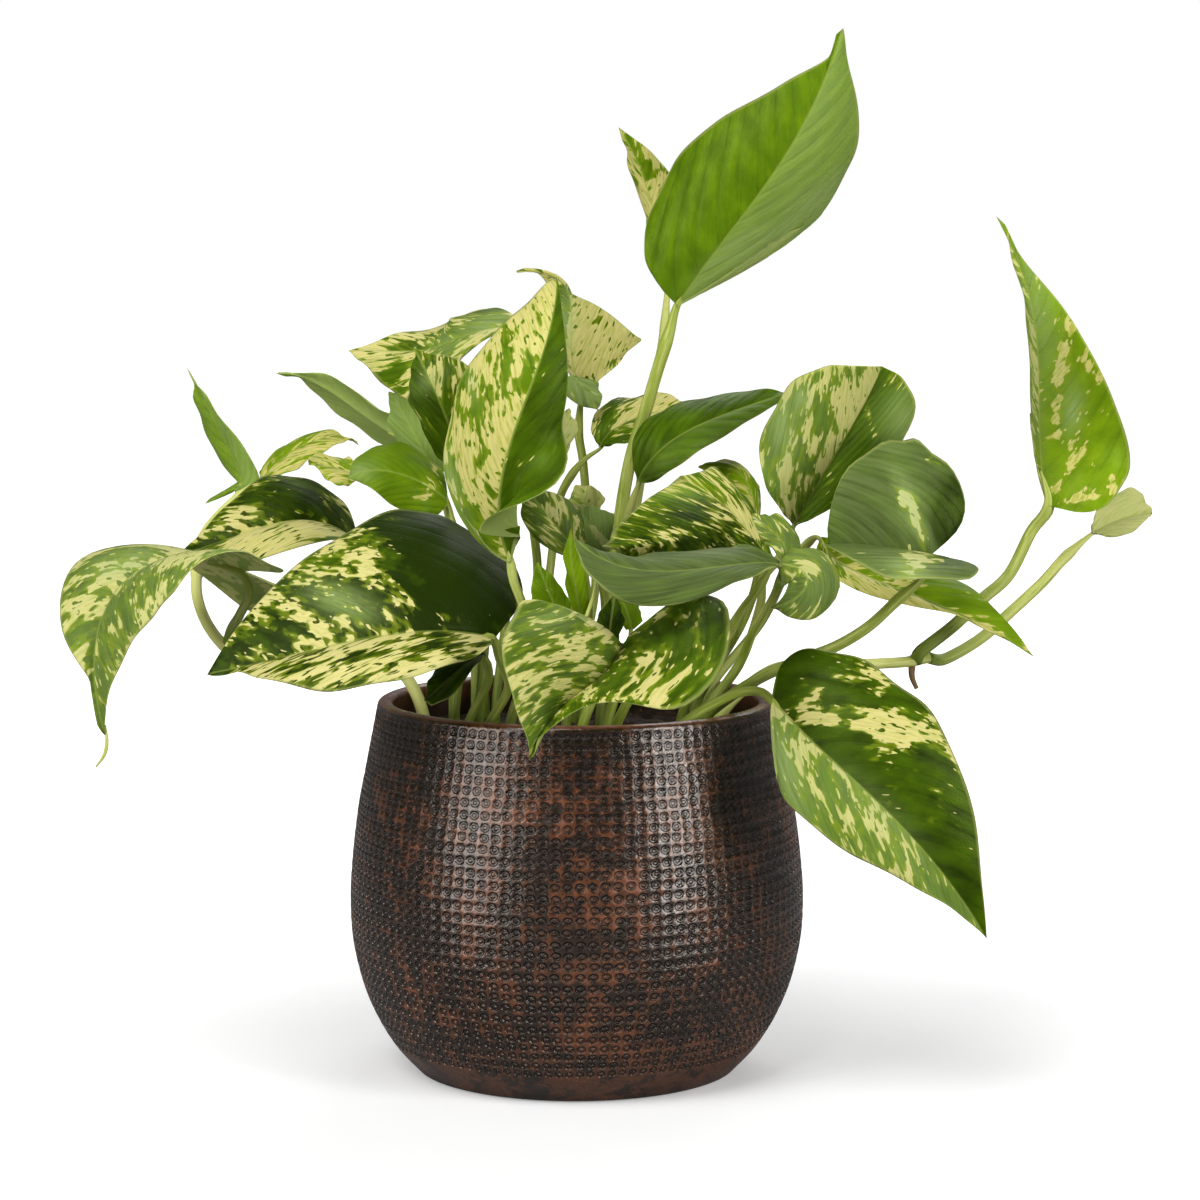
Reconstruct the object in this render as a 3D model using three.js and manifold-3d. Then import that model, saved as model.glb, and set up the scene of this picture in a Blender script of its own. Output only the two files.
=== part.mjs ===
// Potted marble queen pothos: a round clay pot, its soil, two trailing vines and the leaves on their stalks.
// Millimetres, +Z up, front towards -Y. The origin is the middle of the pot's flat underside.
import * as THREE from "three";
import { mergeVertices } from "three/addons/utils/BufferGeometryUtils.js";
import Module from "manifold-3d";

const wasm = await Module();
wasm.setup();

// Driving sizes
const POT_HEIGHT = 155;
const POT_WIDTH = 190;
const WALL = 6.5;
const POT_FLOOR = 9;
const FLOOR_CORNER = 4;
const SOIL_BELOW_RIM = 15;
const SOIL_TOP = POT_HEIGHT - SOIL_BELOW_RIM;
const SOIL_EDGE_HEIGHT = 4;
const SOIL_EDGE_WIDTH = 1.6;
const SOIL_EDGE_DROP = 1;
const GAP = 0.3;
const FOOT_DEPTH = 8;

// Blades: their thickness, how far each half bulges as a share of its width, where they are widest and their
// least half width short of the tip, as shares of length and half width.
const BLADE_THICKNESS = 1.1;
const ARCH = 0.12;
const WIDEST = 0.32;
const NARROWEST = 0.04;

// Stalks start under the midrib at a share of its length. Their radius grows downwards: it is a share of the
// full radius at the blade, a larger share a quarter of the way down, and full at the foot.
const STALK_RADIUS = 2.1;
const STALK_START = 0.2;
const STALK_AT_BLADE = 0.4;
const STALK_BELOW_BLADE = 0.85;

// Vines lose a share of their radius towards the tip, and so do their aerial roots.
const VINE_RADIUS = 2.4;
const VINE_TAPER = 0.15;
const ROOT_RADIUS = 1.6;
const ROOT_TAPER = 0.45;

// Fineness of the surfaces
const ROUND_SIDES = 32;
const WALL_STEPS = 9;
const STALK_SIDES = 6;
const ROOT_STEPS = 3;
const JOINT_STEPS = 200;
const SIMPLER_WITHIN = 0.12;

const CLAY = { color: 0x4a2c1f, roughness: 0.4 };
const POTTING_MIX = { color: 0x2c2119, roughness: 0.95 };
const STEM = { color: 0xa9bd6a, roughness: 0.5 };
const LEAF = { color: 0x6f9438, roughness: 0.42 };

// The plant is laid out as it is seen from the front. A spot is [across, up, depth]: across and up are read
// in a plane through AIM that faces the eye, and depth is the true distance behind the pot's axis, negative
// in front of it.
const AIM = new THREE.Vector3(10, 0, 196);
const EYE_DISTANCE = 1440;
const EYE_PITCH = THREE.MathUtils.degToRad(6.4);

const ACROSS = new THREE.Vector3(1, 0, 0);
const AWAY = new THREE.Vector3(0, Math.cos(EYE_PITCH), -Math.sin(EYE_PITCH));
const UP = new THREE.Vector3(0, Math.sin(EYE_PITCH), Math.cos(EYE_PITCH));
const EYE = AIM.clone().addScaledVector(AWAY, -EYE_DISTANCE);

function spot([across, up, depth]) {
  const ray = AIM.clone().addScaledVector(ACROSS, across).addScaledVector(UP, up).sub(EYE);
  return EYE.clone().addScaledVector(ray, (depth - EYE.y) / ray.y);
}

// Half of a blade's outline, from the notch at its base to its tip, as shares of length and half width, with
// the place on the midrib where the vein to each margin point starts. A lobe pulls the first points back
// along the midrib by its size times pull, and a full tip widens the last ones by its size times swell.
const MARGIN = [
  { along: 0, away: 0, vein: 0, pull: 0, swell: 0 },
  { along: 0.01, away: 0.3, vein: 0, pull: 0.9, swell: 0 },
  { along: 0.05, away: 0.62, vein: 0, pull: 1, swell: 0 },
  { along: 0.15, away: 0.88, vein: 0.03, pull: 0.55, swell: 0 },
  { along: 0.32, away: 1, vein: 0.14, pull: 0, swell: 0 },
  { along: 0.53, away: 0.88, vein: 0.32, pull: 0, swell: 0.08 },
  { along: 0.73, away: 0.56, vein: 0.54, pull: 0, swell: 0.2 },
  { along: 0.88, away: 0.22, vein: 0.77, pull: 0, swell: 0.22 },
  { along: 1, away: 0, vein: 1, pull: 0, swell: 0 },
];

// Leaves. base, rib and tip are spots along the midrib. left and right are the widest spots of the two
// margins, seen from the base towards the tip with the upper face up. lobes, full and skew are
// [left, right]: how far the base reaches back, how full the tip is and how far the whole margin slides
// forward. twist turns the blade about its midrib, in degrees from base to tip. flaps are further lobes of
// the same blade. stalk lists spots from the blade down, radius is the stalk's own, and foot is where it
// enters the soil, as [x, y], or the vine it grows on.
const LEAVES = [
  {
    name: "leaf_tall", base: [32.5, 123, 35], rib: [[58, 160, 27], [82.5, 194, 27]], tip: [101, 238, 44],
    left: [27, 175, 46], right: [95, 168, 58], lobes: [-0.03, -0.2], full: [-0.2, 0], skew: [0, 0.08],
    stalk: [[29, 112, 37], [24, 96, 37], [19, 79, 37], [13, 60, 37], [8, 32, 37], [4, 0, 37]],
    foot: [3, 21], radius: 3,
  },
  {
    name: "leaf_narrow", base: [28, 141, 111], rib: [[23, 160, 111], [17, 179, 111]], tip: [7.5, 197, 111],
    left: [18, 164, 119], right: [37, 160, 116],
    stalk: [[28, 129, 108], [26, 108, 102], [21, 83, 94], [17, 50, 88]], foot: [12, 65],
  },
  {
    name: "leaf_fan", base: [-7.5, 87, 72], rib: [[-11, 105, 69], [-16, 125, 72]], tip: [-35, 137, 80],
    left: [-27, 106, 83], right: [17, 105, 83], lobes: [0, -0.1], full: [0, -2.6],
    stalk: [[-8.3, 80, 74], [-8.8, 69, 76], [-7, 57, 76], [-6, 30, 74]], foot: [-9, 57],
  },
  {
    name: "leaf_upright", base: [-37.5, 16, -60], rib: [[-34, 55, -64], [-28, 95, -57]],
    tip: [-18, 134, -38],
    left: [-65, 67, -49], right: [-17, 71, -52], lobes: [-0.12, -0.05],
    stalk: [[-36, 8, -61], [-32, -3, -61], [-29, -22, -49]], foot: [-27, -45],
  },
  {
    name: "leaf_front_left", base: [-44, -16, -74], rib: [[-83, -14, -90], [-124, -22, -90]],
    tip: [-164, -31, -80],
    left: [-94, -36, -114], right: [-72, 37, -29], lobes: [0, 0.12], full: [-0.5, 0.7],
    stalk: [[-42, -24, -74], [-38, -36, -66]], foot: [-36, -56],
  },
  {
    name: "leaf_dome_left", base: [-103, 22, 41], rib: [[-125, 33, 24], [-150, 27, 18]], tip: [-175, 19, 16],
    left: [-131, 20, -7], right: [-125, 52, 52],
    stalk: [[-92, 12, 44], [-75, -4, 45], [-62, -26, 46]], foot: [-52, 32],
  },
  {
    name: "leaf_far_left", base: [-149, 12, -29], rib: [[-186, 15, -40], [-209, -12, -54]],
    tip: [-208, -67, -62],
    left: [-176, 7, -72], right: [-185, 19, 7], lobes: [0.15, 0.3], full: [0, -1], twist: -60,
    stalk: [[-146, 4, -26], [-150, -6, -15], [-154, -13, -1]], foot: "vine_left",
  },
  {
    name: "leaf_spear", base: [-150, 47, 91], rib: [[-152, 58, 94], [-162, 78, 97]], tip: [-172, 97, 100],
    left: [-160, 62, 105], right: [-143, 54, 86], lobes: [0.35, 0.05], full: [-1, -0.5],
    stalk: [[-150, 44, 87]], foot: "vine_left",
  },
  {
    name: "leaf_arching", base: [-141, 50, 72], rib: [[-131, 60, 72], [-116, 67, 74]], tip: [-100, 65, 80],
    left: [-128, 65, 88], right: [-124, 56, 60],
    stalk: [[-143, 47, 70]], foot: "vine_left",
  },
  {
    name: "leaf_grey_left", base: [-81, 67, 80], rib: [[-99, 78, 88], [-117, 90, 94]], tip: [-135, 94, 97],
    left: [-96, 83, 77], right: [-102, 72, 102], lobes: [0.1, 0.1], full: [-0.8, 0],
    stalk: [[-75, 50, 74], [-62, 17, 72]], foot: [-40, 55],
  },
  {
    name: "leaf_folded", base: [-33, 116, 13], rib: [[-56, 110, 7], [-81, 102, 4]], tip: [-105, 104, 13],
    left: [-67, 86, -10], right: [-60, 117, 44],
    stalk: [[-34, 100, 18], [-40, 83, 24], [-42, 50, 32], [-38, 10, 38]], foot: [-34, 24],
  },
  {
    name: "leaf_dark_left", base: [-57, 54, -12], rib: [[-63, 73, -29], [-70, 90, -32]],
    tip: [-77, 104, -26],
    left: [-78, 81, -21], right: [-48, 88, -26],
    stalk: [[-53, 40, -10], [-47, 15, -7]], foot: [-40, -14],
  },
  {
    name: "leaf_grey_middle", base: [-67, 51, 13], rib: [[-74, 63, 10], [-81, 76, 10]], tip: [-88, 87, 16],
    left: [-84, 64, 16], right: [-66, 72, 13],
    stalk: [[-63, 36, 16], [-54, 5, 16]], foot: [-42, 4],
  },
  {
    name: "leaf_green_dome", base: [-64, 42, -7], rib: [[-79, 51, -14], [-94, 54, -15]],
    tip: [-106, 50, -12],
    left: [-81, 36, -18], right: [-81, 64, 7],
    stalk: [[-61, 30, -7], [-56, 5, -11]], foot: [-50, -22],
  },
  {
    name: "leaf_small_twisted", base: [-100, 51, 18], rib: [[-107, 54, 21], [-115, 56, 24]],
    tip: [-122, 57, 24],
    left: [-110, 48, 13], right: [-110, 60, 32],
    stalk: [[-88, 46, 21], [-74, 30, 30], [-62, 0, 32]], foot: [-52, 16],
  },
  {
    name: "leaf_front", base: [10, -18, -78], rib: [[-3, -35, -98], [-17, -48, -112]], tip: [-30, -67, -118],
    left: [42, -38, -114], right: [-46, -12, -100], lobes: [0.5, 0.25], full: [-0.6, 0],
    stalk: [[12, -24, -70], [14, -36, -57]], foot: [16, -48],
  },
  {
    name: "leaf_long_grey", base: [76, 14, -66], rib: [[52, 14, -84], [19, 12, -96]], tip: [-11, 26, -88],
    left: [37, 20, -70], right: [31, -2, -102],
    stalk: [[74, 5, -54], [69, -5, -43], [64, -13, -35], [59, -25, -26]], foot: [52, -27],
    flaps: [
      {
        base: [75, 15, -67], rib: [[86, 10, -68], [83, 2, -70]], tip: [71, -3, -68],
        left: [100, 8, -62], right: [74, 7, -66],
      },
      {
        base: [77, 15, -66], rib: [[76, 24, -60], [70, 30, -60]], tip: [63, 36, -54],
        left: [69, 23, -62], right: [80, 31, -52],
      },
    ],
  },
  {
    name: "leaf_dome_centre", base: [70, 17, -18], rib: [[48, 33, -40], [23, 31, -57]], tip: [3, 18, -64],
    left: [37, 12, -66], right: [40, 51, -15], full: [0, -0.7],
    stalk: [[67, 6, -15], [58, -6, -7]], foot: [44, -7],
  },
  {
    name: "leaf_back_yellow", base: [67, 23, 13], rib: [[62, 35, 16], [55, 48, 24]], tip: [42, 55, 30],
    left: [50, 40, 21], right: [69, 45, 32],
    stalk: [[66, 12, 16], [60, -8, 24]], foot: [50, 16],
  },
  {
    name: "leaf_round_variegated", base: [81, 31, 4], rib: [[88, 51, -10], [104, 73, -4]],
    tip: [130, 88, 24],
    left: [74, 86, 10], right: [123, 60, 35], full: [0.9, 1],
    stalk: [[75, 18, 7], [68, 9, 10], [67, -1, 13], [58, -27, 17]], foot: [54, 4],
  },
  {
    name: "leaf_blue_round", base: [137, 18, -21], rib: [[123, 18, -29], [108, 20, -29]], tip: [95, 22, -21],
    left: [125, 7, -64], right: [126, 67, -4], lobes: [0.5, 0.5], full: [0, 1.5],
    stalk: [[134, 9, -24], [124, 0, -26], [112, -11, -29], [99, -19, -32], [84, -25, -35], [64, -34, -38]],
    foot: [48, -46],
  },
  {
    name: "leaf_long_point", base: [99, 23, 27], rib: [[119, 12, 13], [146, 0, 4]], tip: [181, -24, 2],
    left: [137, 23, 41], right: [113, 3, -10],
    stalk: [[92, 22, 38], [82, 14, 44], [68, -8, 49]], foot: [54, 37],
  },
  {
    name: "leaf_long_green", base: [16, 50, 4], rib: [[31, 67, 7], [54, 78, 24]], tip: [80, 87, 46],
    left: [30, 80, 30], right: [37, 59, 2], full: [0, 0.6],
    stalk: [[13, 40, 6], [10, 28, 7], [8, 5, 11]], foot: [10, 1],
  },
  {
    name: "leaf_behind_tall", base: [0, 64, 66], rib: [[9, 73, 69], [23, 78, 74]], tip: [38, 82, 80],
    left: [9, 84, 86], right: [17, 67, 58],
    stalk: [[-6, 59, 63], [-12, 52, 60], [-17, 42, 59], [-20, 20, 56]], foot: [-17, 37],
  },
  {
    name: "leaf_pale_behind", base: [-27, 46, -15], rib: [[-22, 57, -24], [-17, 69, -26]],
    tip: [-13, 80, -24],
    left: [-29, 62, -24], right: [-12, 67, -15],
    stalk: [[-28, 34, -10], [-26, 10, -4]], foot: [-22, -12],
  },
  {
    name: "leaf_small_pale", base: [-4, 36, 52], rib: [[-6, 41, 49], [-8, 45, 49]], tip: [-10, 48, 52],
    left: [-14, 40, 52], right: [1, 44, 52],
    stalk: [[-3, 28, 52], [-2, 5, 53]], foot: [-1, 39],
  },
  {
    name: "leaf_mottled", base: [-9, 20, -38], rib: [[-17, 29, -43], [-24, 38, -40]], tip: [-32, 47, -35],
    left: [-30, 29, -45], right: [-9, 39, -32],
    stalk: [[-7, 12, -46], [-5, -8, -35]], foot: [-4, -35],
  },
  {
    name: "leaf_grey_wedge", base: [0, 16, -24], rib: [[-2, 24, -29], [-5, 32, -29]], tip: [-10, 39, -24],
    left: [-11, 27, -32], right: [5, 35, -21],
    stalk: [[1, 8, -19], [2, -8, -14]], foot: [2, -17],
  },
  {
    name: "leaf_bright_strip", base: [-8, -8, -62], rib: [[-10, 4, -64], [-12, 17, -64]],
    tip: [-12, 30, -66],
    left: [-14, 6, -62], right: [-5, 6, -62],
    stalk: [[-8, -16, -60]], foot: [-10, -52],
  },
  {
    name: "leaf_olive", base: [-15, -9, -70], rib: [[-19, -2, -72], [-23, 7, -72]], tip: [-26, 16, -70],
    left: [-27, -2, -72], right: [-14, 2, -70],
    stalk: [[-15, -18, -66]], foot: [-19, -54],
  },
  {
    name: "leaf_dark_small", base: [3, -19, -66], rib: [[4, -12, -70], [5, -5, -70]], tip: [6, 3, -68],
    left: [-2, -10, -70], right: [10, -10, -68],
    stalk: [[3, -26, -64]], foot: [2, -58],
  },
  {
    name: "leaf_bright_small", base: [13, -12, -46], rib: [[12, -7, -49], [10, -2, -49]], tip: [8, 2, -46],
    left: [7, -7, -49], right: [17, -4, -46],
    stalk: [[13, -20, -40]], foot: [13, -32],
  },
  {
    name: "leaf_low_right", base: [72, -42, -62], rib: [[99, -69, -84], [130, -99, -90]],
    tip: [161, -141, -80],
    left: [130, -38, -70], right: [83, -90, -94], lobes: [0.1, -0.12],
    stalk: [[66, -38, -54], [54, -40, -52]], foot: [40, -58],
  },
  {
    name: "leaf_right_upright", base: [184, 38, 30], rib: [[187, 78, 18], [178, 119, 30]],
    tip: [165, 160, 46],
    left: [183, 85, 44], right: [220, 67, 38], lobes: [-0.1, 0.03], full: [-1.4, -1],
    stalk: [[180, 29, 30], [170, 10, 27], [160, 1, 24], [147, -11, 21], [138, -18, 18], [133, -22, 18]],
    foot: "vine_right", radius: 2.4,
  },
  {
    name: "leaf_far_right", base: [205, 28, 74], rib: [[213, 32, 77], [222, 35, 80]], tip: [230, 36, 86],
    left: [217, 46, 88], right: [219, 27, 72],
    stalk: [[193, 17, 69], [185, 8, 63], [170, -6, 52], [160, -15, 44], [149, -22, 35], [142, -25, 30]],
    foot: "vine_right", radius: 2.2,
  },
  {
    name: "leaf_under", base: [-48, -23, -43], rib: [[-57, -28, -54], [-66, -36, -62]], tip: [-73, -42, -66],
    left: [-60, -38, -66], right: [-64, -24, -46],
    stalk: [[-46, -32, -40]], foot: [-44, -42],
  },
];

// Vines that leave the pot over its rim. foot is in the soil, as [x, y]; spots follow outwards. Each aerial
// root is a list of spots of its own.
const VINES = [
  {
    name: "vine_left", foot: [-64, 1],
    spots: [
      [-84, -29, 11], [-100, -27, 7], [-125, -25, 4], [-146, -22, 3], [-156, -19, 4], [-163, -11, 13],
      [-167.5, 0, 27], [-168, 11, 46], [-165, 27, 72], [-157, 37, 83], [-150, 43, 83], [-144, 47, 74],
    ],
    roots: [],
  },
  {
    name: "vine_right", foot: [60, -9],
    spots: [[70, -30, 3], [82, -27, 4], [100, -27, 10], [116, -26.5, 16], [130, -25.5, 21], [137, -24, 24]],
    roots: [[[130, -27, 21], [130, -32, 18], [132, -37, 17]]],
  },
];

// A manifold solid from three.js geometry, and back.
function solid(geometry) {
  const bare = new THREE.BufferGeometry();
  bare.setAttribute("position", geometry.getAttribute("position"));
  bare.setIndex(geometry.index);
  const merged = mergeVertices(bare, 1e-4);
  return new wasm.Manifold(
    new wasm.Mesh({
      numProp: 3,
      vertProperties: merged.attributes.position.array,
      triVerts: new Uint32Array(merged.index.array),
    }),
  );
}

function geometryOf(body) {
  const mesh = body.getMesh();
  const geometry = new THREE.BufferGeometry();
  geometry.setAttribute("position", new THREE.BufferAttribute(mesh.vertProperties, 3));
  geometry.setIndex(new THREE.BufferAttribute(mesh.triVerts, 1));
  return geometry;
}

function meshOf(name, body, look) {
  const geometry = geometryOf(body).toNonIndexed();
  geometry.computeVertexNormals();
  const mesh = new THREE.Mesh(geometry, new THREE.MeshStandardMaterial(look));
  mesh.name = name;
  return mesh;
}

// A closed round rod along a path. radiusAt gives its radius for each share of its length.
function rod(points, radiusAt, steps) {
  const path = new THREE.CatmullRomCurve3(points);
  const frames = path.computeFrenetFrames(steps, false);
  const positions = [];
  const index = [];
  for (let i = 0; i <= steps; i += 1) {
    const share = i / steps;
    const centre = path.getPointAt(share);
    const radius = radiusAt(share);
    for (let j = 0; j < STALK_SIDES; j += 1) {
      const turn = (2 * Math.PI * j) / STALK_SIDES;
      const rim = centre.clone()
        .addScaledVector(frames.normals[i], radius * Math.cos(turn))
        .addScaledVector(frames.binormals[i], radius * Math.sin(turn));
      positions.push(rim.x, rim.y, rim.z);
    }
  }
  for (let i = 0; i < steps; i += 1) {
    for (let j = 0; j < STALK_SIDES; j += 1) {
      const here = i * STALK_SIDES + j;
      const beside = i * STALK_SIDES + ((j + 1) % STALK_SIDES);
      index.push(here, beside, here + STALK_SIDES);
      index.push(beside, beside + STALK_SIDES, here + STALK_SIDES);
    }
  }
  const last = steps * STALK_SIDES;
  for (let j = 1; j < STALK_SIDES - 1; j += 1) {
    index.push(0, j + 1, j);
    index.push(last, last + j, last + j + 1);
  }
  const geometry = new THREE.BufferGeometry();
  geometry.setAttribute("position", new THREE.Float32BufferAttribute(positions, 3));
  geometry.setIndex(index);
  return solid(geometry);
}

// A sum of points, each times its own share.
function blend(points, shares) {
  return points.reduce((sum, point, i) => sum.addScaledVector(point, shares[i]), new THREE.Vector3());
}

// The midrib is the cubic through base, rib and tip, which lie at 0, 1/3, 2/3 and 1 of it.
function midribOf(leaf) {
  const through = [leaf.base, ...leaf.rib, leaf.tip].map(spot);
  const first = blend(through, [-5 / 6, 3, -3 / 2, 1 / 3]);
  const second = blend(through, [1 / 3, -3 / 2, 3, -5 / 6]);
  return new THREE.CubicBezierCurve3(through[0], first, second, through[3]);
}

// A point of the middle sheet of a blade. side is 1 for the left half and -1 for the right half.
function sheetPoint(leaf, midrib, side, along, away) {
  const onRib = Math.max(along, 0);
  const direction = midrib.getTangent(onRib);
  const widestDirection = midrib.getTangent(WIDEST);
  const reach = spot(side > 0 ? leaf.left : leaf.right).sub(midrib.getPoint(WIDEST));
  reach.applyQuaternion(new THREE.Quaternion().setFromUnitVectors(widestDirection, direction));
  reach.applyAxisAngle(direction, THREE.MathUtils.degToRad((leaf.twist ?? 0) * (onRib - WIDEST)));
  const lift = direction.clone().cross(reach).normalize().multiplyScalar(side * reach.length());
  const point = midrib.getPoint(onRib);
  point.addScaledVector(midrib.getTangent(0), Math.min(along, 0) * midrib.getLength());
  point.addScaledVector(reach, away);
  return point.addScaledVector(lift, ARCH * 4 * away * (1 - away));
}

// The middle sheet of a blade: veins run from the midrib to the margin, halved once, on both sides.
function bladeSheet(leaf) {
  const midrib = midribOf(leaf);
  const rows = MARGIN.map(({ along, away, vein, pull, swell }) =>
    [-1, -0.5, 0, 0.5, 1].map((share) => {
      const half = share > 0 ? 0 : 1;
      const [lobe, full, skew] = [leaf.lobes, leaf.full, leaf.skew].map((pair) => (pair ? pair[half] : 0));
      const edge = along - pull * lobe + 4 * skew * along * (1 - along);
      const out = Math.abs(share);
      const reach = away && Math.max(away + swell * full, NARROWEST);
      return sheetPoint(leaf, midrib, 1 - 2 * half, vein + (edge - vein) * out, reach * out);
    }),
  );
  const positions = [];
  for (let i = 0; i < rows.length - 1; i += 1) {
    for (let j = 0; j < rows[i].length - 1; j += 1) {
      const corners = [rows[i][j], rows[i][j + 1], rows[i + 1][j + 1], rows[i + 1][j]];
      const order = j < 2 ? [0, 2, 1, 0, 3, 2] : [0, 3, 1, 1, 3, 2];
      order.forEach((corner) => positions.push(...corners[corner].toArray()));
    }
  }
  const geometry = new THREE.BufferGeometry();
  geometry.setAttribute("position", new THREE.Float32BufferAttribute(positions, 3));
  return mergeVertices(geometry, 1e-3);
}

// A closed shell around a sheet: the sheet moved half the thickness each way, with a strip along its edge.
function thickened(sheet, thickness) {
  const triangles = [];
  for (let i = 0; i < sheet.index.count; i += 3) {
    const [a, b, c] = [0, 1, 2].map((k) => sheet.index.getX(i + k));
    if (a !== b && b !== c && c !== a) triangles.push([a, b, c]);
  }
  sheet.setIndex(triangles.flat());
  sheet.computeVertexNormals();
  const count = sheet.attributes.position.count;
  const positions = [];
  for (const side of [0.5, -0.5]) {
    for (let i = 0; i < count; i += 1) {
      const point = new THREE.Vector3().fromBufferAttribute(sheet.attributes.position, i);
      const normal = new THREE.Vector3().fromBufferAttribute(sheet.attributes.normal, i);
      positions.push(...point.addScaledVector(normal, side * thickness).toArray());
    }
  }
  const edges = new Set(triangles.flatMap(([a, b, c]) => [`${a} ${b}`, `${b} ${c}`, `${c} ${a}`]));
  const index = triangles.flatMap(([a, b, c]) => [a, b, c, a + count, c + count, b + count]);
  for (const edge of edges) {
    const [a, b] = edge.split(" ").map(Number);
    if (!edges.has(`${b} ${a}`)) index.push(a, a + count, b, b, a + count, b + count);
  }
  const geometry = new THREE.BufferGeometry();
  geometry.setAttribute("position", new THREE.Float32BufferAttribute(positions, 3));
  geometry.setIndex(index);
  return solid(geometry);
}

// The two ends of a straight piece that enters the soil.
function inSoil([x, y]) {
  return [new THREE.Vector3(x, y, SOIL_TOP + FOOT_DEPTH), new THREE.Vector3(x, y, SOIL_TOP - FOOT_DEPTH)];
}

// The stalk runs a little way up under the midrib, so that blade and stalk are one body.
function stalkPoints(leaf) {
  const midrib = midribOf(leaf);
  const end = typeof leaf.foot === "string" ? [vineJoint(leaf)] : inSoil(leaf.foot);
  return [midrib.getPoint(STALK_START), midrib.getPoint(0), ...leaf.stalk.map(spot), ...end];
}

// The nearest point of the vine's middle line to the stalk's last spot.
function vineJoint(leaf) {
  const vine = VINES.find(({ name }) => name === leaf.foot);
  const line = new THREE.CatmullRomCurve3(vinePoints(vine)).getSpacedPoints(JOINT_STEPS);
  const from = spot(leaf.stalk.at(-1));
  return line.reduce((best, point) => (point.distanceTo(from) < best.distanceTo(from) ? point : best));
}

function vinePoints(vine) {
  return [...inSoil(vine.foot).reverse(), ...vine.spots.map(spot)];
}

// extra makes the vine thicker all round, for the hole that it sits in.
function vineBody(vine, extra) {
  const points = vinePoints(vine);
  const stem = rod(points, (share) => VINE_RADIUS * (1 - VINE_TAPER * share) + extra, points.length + 4);
  const rootRadiusAt = (share) => ROOT_RADIUS * (1 - ROOT_TAPER * share) + extra;
  const roots = vine.roots.map((root) => rod(root.map(spot), rootRadiusAt, ROOT_STEPS));
  return roots.reduce((body, root) => body.add(root), stem);
}

function stalkBody(leaf, extra) {
  const points = stalkPoints(leaf);
  const radiusAt = (share) => {
    const nearBlade = (STALK_BELOW_BLADE - STALK_AT_BLADE) * Math.min(1, 4 * share);
    return (leaf.radius ?? STALK_RADIUS) * (STALK_AT_BLADE + nearBlade + (1 - STALK_BELOW_BLADE) * share);
  };
  return rod(points, (share) => radiusAt(share) + extra, points.length);
}

function leafBody(leaf) {
  const sheets = [leaf, ...(leaf.flaps ?? [])].map(bladeSheet);
  const blades = sheets.map((sheet) => thickened(sheet, BLADE_THICKNESS));
  const body = blades.reduce((joined, blade) => joined.add(blade), stalkBody(leaf, 0));
  const vine = VINES.find(({ name }) => name === leaf.foot);
  return (vine ? body.subtract(vineBody(vine, GAP)) : body).simplify(SIMPLER_WITHIN);
}

// The pot's outer wall from the underside to the lip, as shares of half its width and of its height.
const WALL_SHARES = [
  [0.71, 0], [0.807, 0.065], [0.89, 0.148], [0.953, 0.245], [0.993, 0.361],
  [1, 0.471], [0.989, 0.574], [0.961, 0.71], [0.919, 0.839], [0.879, 0.961],
];
const WALL_POINTS = new THREE.SplineCurve(
  WALL_SHARES.map(([out, up]) => new THREE.Vector2((out * POT_WIDTH) / 2, up * POT_HEIGHT)),
).getPoints(WALL_STEPS);

// A body turned about the pot's axis from a profile of Vector2(radius, height).
function turned(profile) {
  return solid(new THREE.LatheGeometry(profile, ROUND_SIDES).rotateX(Math.PI / 2));
}

// The wall's points between two heights, moved inwards.
function insideLine(inset, from, to) {
  const between = WALL_POINTS.filter(({ y }) => y > from && y < to);
  return between.map(({ x, y }) => new THREE.Vector2(x - inset, y));
}

// The wall is as thick all the way up, and its top is rounded.
function potBody() {
  const top = WALL_POINTS.at(-1);
  const lip = [30, 90, 150, 180].map((degrees) => {
    const turn = THREE.MathUtils.degToRad(degrees);
    const radius = top.x - (WALL / 2) * (1 - Math.cos(turn));
    return new THREE.Vector2(radius, top.y + (POT_HEIGHT - top.y) * Math.sin(turn));
  });
  const inner = insideLine(WALL, POT_FLOOR, top.y).reverse();
  const corner = new THREE.Vector2(inner.at(-1).x - FLOOR_CORNER, POT_FLOOR);
  const middle = new THREE.Vector2(0, POT_FLOOR);
  return turned([new THREE.Vector2(0, 0), ...WALL_POINTS, ...lip, ...inner, corner, middle]);
}

// The soil fills the pot up to a rounded edge, a little lower at the wall than in the middle.
function soilBody() {
  const bottom = POT_FLOOR + GAP;
  const wall = insideLine(WALL + GAP, bottom, SOIL_TOP - SOIL_EDGE_HEIGHT);
  const edge = new THREE.Vector2(wall.at(-1).x - SOIL_EDGE_WIDTH, SOIL_TOP - SOIL_EDGE_DROP);
  const floor = [new THREE.Vector2(0, bottom), new THREE.Vector2(wall[0].x - FLOOR_CORNER, bottom)];
  const body = turned([...floor, ...wall, edge, new THREE.Vector2(0, SOIL_TOP)]);
  const stalks = LEAVES.filter(({ foot }) => typeof foot !== "string").map((leaf) => stalkBody(leaf, GAP));
  const vines = VINES.map((vine) => vineBody(vine, GAP));
  return [...stalks, ...vines].reduce((rest, hole) => rest.subtract(hole), body);
}

const plant = new THREE.Group();
plant.name = "potted_marble_queen_pothos";
plant.add(meshOf("pot", potBody(), CLAY));
plant.add(meshOf("soil", soilBody(), POTTING_MIX));
VINES.forEach((vine) => plant.add(meshOf(vine.name, vineBody(vine, 0), STEM)));
LEAVES.forEach((leaf) => plant.add(meshOf(leaf.name, leafBody(leaf), LEAF)));

export default plant;
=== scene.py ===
"""The looks of a potted marble queen pothos: a dimpled clay pot, its soil, two vines and thirty-six leaves.

Sizes are in millimetres and become metres when a mesh is made. The front of the object faces -Y.
"""

import math

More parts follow.
